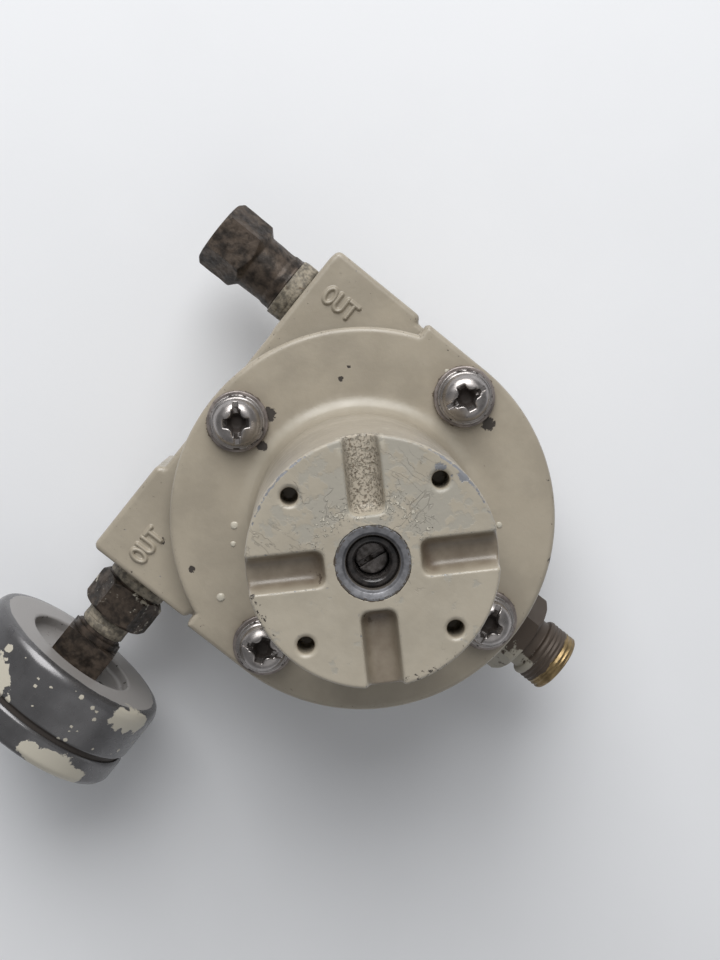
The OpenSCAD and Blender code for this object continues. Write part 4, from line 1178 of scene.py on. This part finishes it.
class ValveAdjuster(bpy.types.Operator):
    """Turns the bush, the lock ring and the slotted adjusting screw"""

    bl_idname = "valve.adjuster"
    bl_label = "Adjuster"

    def execute(self, context):
        s = sizes(context.scene.valve_fittings)
        low, high, r = BUSH_LO[2], BUSH_HI[2], BUSH_HI[0]
        ring_low, ring_high, ring_r = LOCK_LO[2], LOCK_HI[2], LOCK_HI[0]
        bore = 3.05
        profile = [(bore, low), (r, low), (r, high), (r - 0.3, high), (5.25, high - 0.25),
                   (4.95, high - 0.7), (ring_r, high - 1.0), (ring_r, ring_low), (bore, ring_low)]
        mesh = turned(profile, s.sides, None, True, 0.12, 0.5)
        dirt = np.where(radius_of(mesh[0]) > r - 0.4, 0.5, 0.2) + 0.5 * (mesh[0][:, 2] < high - 0.85)
        piece("bush_turned", mesh, "bare_bush", "adjuster_bush", values={"grime": dirt}, sharp=0.8)
        profile = [(bore, ring_low), (ring_r - 0.01, ring_low), (ring_r - 0.01, ring_high - 0.35),
                   (ring_r - 0.4, ring_high), (bore + 0.5, ring_high), (bore, ring_high - 0.5)]
        mesh = turned(profile, s.sides, None, True, 0.16, 0.4)
        piece("lock_ring_turned", mesh, "black_steel", "lock_ring", look="black_ring")
        bottom, top, screw_r = ADJUSTER_LO[2], ADJUSTER_HI[2], ADJUSTER_HI[0]
        tip_r, slot_turn, slot_half, slot_depth, step = 2.6, math.radians(70), 0.48, 1.3, 0.17

        def field(x, y, z):
            radius = np.hypot(x, y)
            wave = np.abs(((z / s.adjuster_pitch - np.arctan2(y, x) / TAU) % 1.0) - 0.5) * 2
            body = radius - screw_r + 0.05 + 0.42 * wave * np.clip((top - 0.5 - z) / 0.5, 0, 1)
            solid = smooth_max(smooth_max(body, z - top, 0.5), bottom - z, 0.4)
            across = np.abs(y * math.cos(slot_turn) - x * math.sin(slot_turn))
            slot = np.maximum(across - slot_half, top - slot_depth - z)
            tip = radius - tip_r - np.maximum(z - bottom, 0) * 0.8
            return np.maximum(smooth_max(solid, -slot, 0.15), tip)

        flat = grid_axis((-3.4, 3.4, step))
        mesh = cast_mesh(field, (flat, flat, grid_axis((bottom - 0.6, top + 0.5, step))))
        dirt = np.where(mesh[0][:, 2] < top - 0.35, 0.42, 0.30)
        piece("adjusting_screw_cut", mesh, "aged_steel", "adjusting_screw", values={"grime": dirt},
              look="screw_steel", body="adjusting_screw")
        return {"FINISHED"}


PIPE_R = 6.56
PIPE_END = -10
PIPE_THREAD = -9.8


class ValveInlet(bpy.types.Operator):
    """Turns the inlet fitting with its hexagon, neck and threaded end"""

    bl_idname = "valve.inlet"
    bl_label = "Inlet fitting"

    def execute(self, context):
        s = sizes(context.scene.valve_fittings)
        corner, flat_r = s.inlet_hex / math.sqrt(3), s.inlet_hex / 2 + 0.2
        end = INLET_HI[0] - INLET_FACE
        bore, neck_r, end_r = 4.0, 6.0, 7.0
        profile = [(bore, PIPE_END), (PIPE_R, PIPE_END), (PIPE_R, 4), (flat_r, 4), (corner, 4.9),
                   (corner, 9.1), (flat_r, 10), (neck_r, 10), (neck_r, 12.8), (end_r - 0.3, 13.0),
                   (end_r, 13.6), (end_r, end - 0.6), (end_r - 0.5, end), (bore + 0.8, end),
                   (bore, end - 0.8)]
        threads = [(PIPE_THREAD, 3.9, 5.5, PIPE_R, s.thread_depth, s.pipe_pitch),
                   (13.8, end - 0.2, 6.2, end_r, 0.3, 1.0)]

        def marks(p):
            x, y, z = p.T
            dirt = 1.0 - 0.72 * np.clip((z - 16.2) / 1.4, 0, 1) + np.where(radius_of(p) < 4.5, 0.5, 0)
            dabbed = (z > 3.8) & (z < 14.5) & (x < 1)
            return {"grime": dirt, "dab": np.where(dabbed, 0.34 + 0.26 * np.clip(-y / 4, -1, 1), 0.12)}

        fitting("inlet_fitting", profile, at_inlet, s.sides, (4, 10, 7.5, s.inlet_hex, 30), threads,
                "clean_brass", marks)
        return {"FINISHED"}


class ValveOutlet(bpy.types.Operator):
    """Turns the outlet adaptor with its plain shank and hexagon end"""

    bl_idname = "valve.outlet"
    bl_label = "Outlet adaptor"

    def execute(self, context):
        s = sizes(context.scene.valve_fittings)
        corner, flat_r = s.outlet_hex / math.sqrt(3), s.outlet_hex / 2 + 0.15
        end = -(OUTLET_LO[0] + OUTLET_FACE)
        hex_from, shank_r, bore, passage = end - 9.7, 6.45, 4.3, 2.5
        profile = [(passage, PIPE_END), (PIPE_R, PIPE_END), (PIPE_R, 4.5), (shank_r, 4.7), (shank_r, 6.2),
                   (shank_r - 0.25, 6.8), (shank_r - 0.1, hex_from - 0.5), (flat_r - 0.3, hex_from),
                   (corner, hex_from + 1.1), (corner, end - 0.9), (flat_r, end), (bore + 0.7, end),
                   (bore, end - 0.7), (bore, end - 9), (passage, end - 9.6)]
        threads = [(PIPE_THREAD, 4.4, 5.5, PIPE_R, s.thread_depth, s.pipe_pitch)]

        def marks(p):
            return {"dab": 0.24 + 0.10 * lumps(p, 4, 6.0), "chip": np.where(p[:, 2] > hex_from, 0.22, 0.14)}

        fitting("outlet_adaptor", profile, at_outlet, s.sides, (hex_from, end, 6.9, s.outlet_hex, 30),
                threads, "dark_brass", marks)
        return {"FINISHED"}


class ValveBushing(bpy.types.Operator):
    """Turns the hexagon bushing between the body and the gauge's stem"""

    bl_idname = "valve.bushing"
    bl_label = "Gauge bushing"

    def execute(self, context):
        s = sizes(context.scene.valve_fittings)
        corner, flat_r = s.bushing_hex / math.sqrt(3), s.bushing_hex / 2 + 0.15
        end, inner = -(BUSHING_LO[1] + GAUGE_FACE), -(SOCKET_HI[1] + GAUGE_FACE)
        start, bore, passage = 4.5, 4.87, 2.5
        profile = [(passage, PIPE_END), (PIPE_R, PIPE_END), (PIPE_R, start), (flat_r, start),
                   (corner, start + 0.9), (corner, end - 0.9), (flat_r, end), (bore + 0.5, end),
                   (bore, end - 0.5), (bore, inner), (passage, inner - 0.5)]
        threads = [(PIPE_THREAD, start - 0.1, 5.5, PIPE_R, s.thread_depth, s.pipe_pitch)]

        def marks(p):
            return {"dab": 0.36 + 0.2 * lumps(p, 9, 5.0), "chip": np.full(len(p), 0.24)}

        fitting("gauge_bushing", profile, at_gauge, s.sides, (start, end, 6.9, s.bushing_hex, 0), threads,
                "dark_brass", marks)
        return {"FINISHED"}


def turn_outwards(made):
    """Turns a closed mesh inside out if the volume it closes, a sum over its triangles of
    a . (b x c), is negative."""
    mesh = made.data
    mesh.calc_loop_triangles()
    corner = np.empty(len(mesh.loop_triangles) * 3, int)
    mesh.loop_triangles.foreach_get("vertices", corner)
    flat = np.empty(len(mesh.vertices) * 3)
    mesh.vertices.foreach_get("co", flat)
    p = flat.reshape(-1, 3)
    p = p - p.mean(0)
    a, b, c = (p[corner.reshape(-1, 3)[:, i]] for i in range(3))
    if np.einsum("ij,ij->i", a, np.cross(b, c)).sum() < 0:
        mesh.flip_normals()


class ValveTapes(bpy.types.Operator):
    """Winds the sealing tape on the four threads"""

    bl_idname = "valve.tapes"
    bl_label = "Thread tapes"

    def execute(self, context):
        stem_start = -(corners("gauge_stem_tape")[1][1] + GAUGE_FACE)
        body_r, stem_r, turns = 6.58, 4.86, 7.0
        for name, node, place, axis, lift, radius in (
                ("inlet_tape_wound", "inlet_tape", at_inlet, 0, 0.2, body_r),
                ("outlet_tape_wound", "outlet_tape", at_outlet, 0, 0.2, body_r),
                ("bushing_tape_wound", "gauge_bushing_tape", at_gauge, 1, 0.2, body_r),
                ("stem_tape_wound", "gauge_stem_tape", at_gauge, 1, stem_start, stem_r)):
            low, high = corners(node)
            thick = high[2] - PORT_Z - radius
            points, faces = helix_tape((high - low)[axis], radius, thick, turns, len(name) * 1.7)
            made = new_object(name, place(points + (0, 0, lift)), faces, MATERIALS["seal_tape"],
                              {"grime": 0.30 + 0.2 * lumps(points, len(name), 3.0)})
            turn_outwards(made)
            ride(made, "root", "seal_tape", node)
        return {"FINISHED"}


def splashes(points, barrel_r, places, most_at_middle, waver=0.0):
    """Largest share of several splashes (angle, height, size) on a barrel, whose edges may waver."""
    best = np.zeros(len(points))
    for a, height, size in places:
        middle = (barrel_r * math.cos(a), barrel_r * math.sin(a), height)
        away = np.linalg.norm(points - middle, axis=1)
        best = np.maximum(best, np.clip(most_at_middle - 0.6 * away / size + waver, 0, 1))
    return best


class ValveGaugeCase(bpy.types.Operator):
    """Presses the gauge's case and bezel, with runs and splashes of paint on them"""

    bl_idname = "valve.gauge_case"
    bl_label = "Gauge case"

    def execute(self, context):
        back, front, start, bezel_end, glass_front = (-(v + GAUGE_FACE) for v in (
            CASE_HI[1], CASE_LO[1], BEZEL_HI[1], BEZEL_LO[1], corners("gauge_glass")[0][1]))
        r = (CASE_HI[0] - CASE_LO[0]) / 2
        bore, well_r, thick, neck_r = 4.91, 13.0, 1.0, r - 0.9
        well_floor, barrel, sides = back + 2.7, start - 1.2, 288
        profile = [(bore, well_floor), (well_r - 1.0, well_floor), (well_r - 0.4, well_floor - 0.5),
                   (well_r - 0.3, back + 0.25), (well_r + 0.25, back), (r - 2.0, back),
                   (r - 0.75, back + 0.35),
                   (r - 0.1, back + 1.7), (r, back + 3.0), (r, barrel - 0.5), (r - 0.45, barrel),
                   (neck_r, barrel + 0.1), (neck_r, front), (neck_r - thick, front),
                   (neck_r - thick, barrel - 1), (r - thick, barrel - 1), (r - thick, back + 2.6),
                   (r - 2.3, back + thick), (well_r + 0.6, back + thick), (well_r, well_floor + 0.4),
                   (well_r - 0.8, well_floor + thick), (bore, well_floor + thick)]
        points, faces = turned(profile, sides, None, True, 0.5, 0.45)
        radius, z = radius_of(points), points[:, 2]
        rng = np.random.default_rng(21)
        drops = [rng.uniform(0, TAU, 90), rng.uniform(back + 0.6, barrel - 0.3, 90),
                 rng.uniform(0.16, 0.55, 90) ** 1.3]
        blots = [(127, barrel - 2.2, 3.6), (138, barrel - 1.6, 3.6), (118, barrel - 1.9, 2.6),
                 (113, barrel - 0.5, 0.9), (107, barrel - 0.4, 0.7), (160, barrel - 3, 3.0),
                 (126, back + 4.0, 0.9), (46, back + 2.0, 2.5), (36, back + 1.5, 2.9), (28, back + 2.4, 2.2),
                 (215, back + 7, 2.4), (300, barrel - 3, 2.2)]
        dab = np.maximum(splashes(points, r, zip(*drops), 1.3),
                         splashes(points, r, in_radians(blots), 1.15, 0.30 * lumps(points, 5, 2.2)))
        dab = np.where(radius > well_r + 0.5, dab, 0)
        grime = np.where(radius < well_r + 0.1, 0.36, 0.12) + np.where(z > barrel - 0.3, 0.8, 0)
        pressed = (z < back + 0.5) & (radius > well_r - 0.2)
        pale = np.where(pressed, 1.0 - 0.9 * np.clip((radius - r + 2.6) / 0.8, 0, 1), 0)
        pale = np.where((radius < well_r) & (z > back + 0.3), 0.74, pale)
        self.add("gauge_case", points, faces, dab, grime, pale=pale)
        rim = r - 0.02
        profile = [(neck_r + 0.01, start), (r - 0.5, start), (rim, start + 0.6), (rim, bezel_end - 1.6),
                   (r - 0.7, bezel_end - 0.4), (r - 1.7, bezel_end), (r - 2.7, bezel_end - 0.3),
                   (r - 3.4, bezel_end - 1.0), (r - 3.4, glass_front), (neck_r + 0.01, glass_front)]
        points, faces = turned(profile, sides, None, True, 0.45, 0.5)
        blots = [(128, start + 1.0, 2.8), (80, start + 3.9, 2.3), (73, start + 4.2, 2.7),
                 (66, start + 4.4, 2.8), (59, start + 4.6, 2.8), (52, start + 4.8, 2.6),
                 (45, start + 5.0, 2.2), (250, start + 3, 2.4)]
        dab = splashes(points, r, in_radians(blots), 1.15, 0.35 * lumps(points, 8, 2.4))
        self.add("gauge_bezel", points, faces, dab, 0.2)
        return {"FINISHED"}

    def add(self, node, points, faces, dab, grime, **more):
        placed = at_gauge(points)
        piece(node + "_pressed", (placed, outwards(placed, faces)), "grey_case", node, sharp=1.0,
              values={"dab": dab, "grime": np.where(dab > 0.4, 0, grime), **more})


def in_radians(places):
    return [(math.radians(degrees), height, size) for degrees, height, size in places]


class ValveDial(bpy.types.Operator):
    """Prints the ticks and numbers of the gauge's dial"""

    bl_idname = "valve.dial"
    bl_label = "Dial marks"

    def execute(self, context):
        face = -(corners("gauge_dial")[0][1] + GAUGE_FACE)
        first, sweep, ticks, numbers, number_r = 225.0, 270.0, 50, 5, 12.2
        quads = np.array([(0, 1, 3, 2), (4, 6, 7, 5), (0, 4, 5, 1), (2, 3, 7, 6), (0, 2, 6, 4), (1, 5, 7, 3)])
        parts = []
        for k in range(ticks + 1):
            a = math.radians(first - sweep * k / ticks)
            inner, half = (14.6, 0.16) if k % 10 == 0 else (15.6, 0.11) if k % 5 == 0 else (16.2, 0.06)
            box = [(x, y, z) for x in (inner, 17.4) for y in (-half, half) for z in (-0.05, 0.03)]
            points = at_gauge(turn_about_z(np.array(box), a, (0, 0, face)))
            parts.append((points, outwards(points, quads)))
        made = new_object("dial_ticks", *join(parts), MATERIALS["pointer_black"], smooth=False)
        ride(made, "root", "pointer_black")
        for k in range(numbers + 1):
            a = math.radians(first - sweep * k / numbers)
            text = bpy.data.curves.new("dial_number", "FONT")
            text.body, text.size, text.align_x, text.align_y = str(2 * k), 3.0, "CENTER", "CENTER"
            text.extrude = 0.03
            holder = bpy.data.objects.new("dial_number", text)
            context.scene.collection.objects.link(holder)
            mesh = bpy.data.meshes.new_from_object(holder.evaluated_get(context.evaluated_depsgraph_get()))
            bpy.data.objects.remove(holder)
            flat = np.empty(len(mesh.vertices) * 3)
            mesh.vertices.foreach_get("co", flat)
            local = flat.reshape(-1, 3) + (number_r * math.cos(a), number_r * math.sin(a), face)
            mesh.vertices.foreach_set("co", (at_gauge(local) * MM).ravel())
            mesh.update()
            mesh.materials.clear()
            mesh.materials.append(MATERIALS["pointer_black"])
            made = bpy.data.objects.new(f"dial_number_{k}", mesh)
            context.scene.collection.objects.link(made)
            ride(made, "root", "pointer_black")
        return {"FINISHED"}


class ValveSprings(bpy.types.Operator):
    """Coils the range spring, in two halves, and the return spring"""

    bl_idname = "valve.springs"
    bl_label = "Springs"

    def execute(self, context):
        for name, node, foot, head, turns, wire in (
                ("range_spring_coil", "range_spring", "diaphragm_stack", "spring_seat", 6.0, 3.0),
                ("return_spring_coil", "return_spring", "root", "poppet", 8.0, 0.6)):
            low, high = corners(node)
            path = spring_path(low[2], high[2], high[0] - wire / 2, wire * 0.98, turns)
            middle = len(path) // 2 if foot != "root" else 0
            halves = [(name, path[middle:], "root", head)]
            if middle:
                halves.append((name + "_foot", path[:middle + 1], foot, "root"))
            for label, part, below, above in halves:
                mesh = swept(part, round_section(wire * 0.49, 14))
                made = new_object(label, *mesh, MATERIALS["spring_steel"])
                turn_outwards(made)
                if label == name:
                    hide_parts(node)
                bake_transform(made)
        return {"FINISHED"}


class ValveBeads(bpy.types.Operator):
    """Lays the small beads of paint on the flange"""

    bl_idname = "valve.beads"
    bl_label = "Paint beads"

    def execute(self, context):
        parts = []
        for x, y, wide, rise in ((-20.2, -17.2, 0.8, 0.35), (-18.0, -20.4, 0.6, 0.3),
                                 (-13.1, -30.8, 0.9, 0.4), (16.0, -27.5, 0.5, 0.25),
                                 (22.5, 17.0, 0.6, 0.3), (-6.0, 34.8, 0.5, 0.25)):
            profile = [(0, -0.3), (wide * 1.3, -0.3), (wide, 0.06), (wide * 0.75, rise * 0.75), (0, rise)]
            points, faces = turned(profile, 24, None, False, 0.2, 0.2)
            points[:, :2] *= 1 + 0.14 * lumps(points + (x, y, 0), 3, 1.2)[:, None]
            parts.append((points + (x, y, FLANGE_TOP), faces))
        points, faces = join(parts)
        made = new_object("paint_beads", points, as_lists(faces), MATERIALS["fresh_paint"])
        ride(made, "root", "cream_paint")
        return {"FINISHED"}


class ValveStage(bpy.types.Operator):
    """Sets the floor, the soft lights and the camera"""

    bl_idname = "valve.stage"
    bl_label = "Stage"

    def execute(self, context):
        stage = context.scene.valve_stage
        half, rows = 1500.0, 9
        side = np.linspace(-half, half, rows)
        x, y = (v.ravel() for v in np.meshgrid(side, side, indexing="ij"))
        i, j = (v.ravel() for v in np.mgrid[:rows - 1, :rows - 1])
        here = i * rows + j
        quads = np.stack([here, here + rows, here + rows + 1, here + 1], 1)
        tint = tuple(stage.floor)
        paper = finish("floor_paper", shaded(tint, 0.985), tint, 60.0, 0.8, 0.008, (0.75, 0.85))
        points = np.stack([x, y, np.full(rows * rows, CAD_BOX[0][2] / MM - 0.05)], 1)
        new_object("floor", points, quads, paper)
        data = bpy.data.cameras.new("camera")
        data.lens, data.sensor_width, data.clip_start = stage.lens, 36.0, 0.01
        camera = bpy.data.objects.new("camera", data)
        context.scene.collection.objects.link(camera)
        eye, aim, up = Vector(stage.eye) * MM, Vector(stage.aim) * MM, Vector(stage.up)
        back = (eye - aim).normalized()
        right = up.cross(back).normalized()
        turned_to = Matrix((right, back.cross(right), back)).transposed()
        camera.matrix_world = Matrix.Translation(eye) @ turned_to.to_4x4()
        context.scene.camera = camera
        for name, place, size, power in (("window_light", (-0.47, 0.51, 0.62), 0.75, 10.0),
                                         ("fill_light", (0.55, -0.35, 0.75), 0.9, 0.9)):
            lamp = bpy.data.lights.new(name, "AREA")
            lamp.shape, lamp.size, lamp.energy = "SQUARE", size, power
            light = bpy.data.objects.new(name, lamp)
            context.scene.collection.objects.link(light)
            toward = Vector(place) - Vector((0, 0, 0.04))
            facing = toward.to_track_quat("Z", "Y").to_matrix()
            light.matrix_world = Matrix.Translation(place) @ facing.to_4x4()
        world = bpy.data.worlds.new("soft_sky")
        world.use_nodes = True
        sky = world.node_tree.nodes["Background"].inputs
        sky[0].default_value, sky[1].default_value = (0.97, 0.98, 1.0, 1.0), 0.26
        context.scene.world = world
        context.scene.view_settings.view_transform = "Standard"
        return {"FINISHED"}


class VALVE_PT_sidebar(bpy.types.Panel):
    """Lists the valve's pieces"""

    bl_idname = "VALVE_PT_sidebar"
    bl_label = "Diverter valve"
    bl_space_type = "VIEW_3D"
    bl_region_type = "UI"
    bl_category = "Valve"

    def draw(self, context):
        for operator in PIECES:
            self.layout.operator(operator.bl_idname)
        for group in ("valve_castings", "valve_fittings", "valve_paint", "valve_stage"):
            box = self.layout.box()
            settings = getattr(context.scene, group)
            for key in settings.__annotations__:
                box.prop(settings, key)


PIECES = (ValveFinishes, ValveBonnet, ValveBody, ValveDiaphragm, ValveLetters, ValveScrews, ValveWashers,
          ValveAdjuster, ValveInlet, ValveOutlet, ValveBushing, ValveTapes, ValveGaugeCase, ValveDial,
          ValveSprings, ValveBeads, ValveStage)
GROUPS = {"valve_castings": CastingSettings, "valve_fittings": FittingSettings,
          "valve_paint": PaintSettings, "valve_stage": StageSettings}


def register():
    for kind in (*GROUPS.values(), *PIECES, VALVE_PT_sidebar):
        bpy.utils.register_class(kind)
    for key, kind in GROUPS.items():
        setattr(bpy.types.Scene, key, PointerProperty(type=kind))


def unregister():
    for key in GROUPS:
        delattr(bpy.types.Scene, key)
    for kind in (VALVE_PT_sidebar, *PIECES[::-1], *GROUPS.values()):
        bpy.utils.unregister_class(kind)


def main():
    register()
    for operator in PIECES:
        group, name = operator.bl_idname.split(".")
        getattr(getattr(bpy.ops, group), name)()


if __name__ == "__main__":
    main()
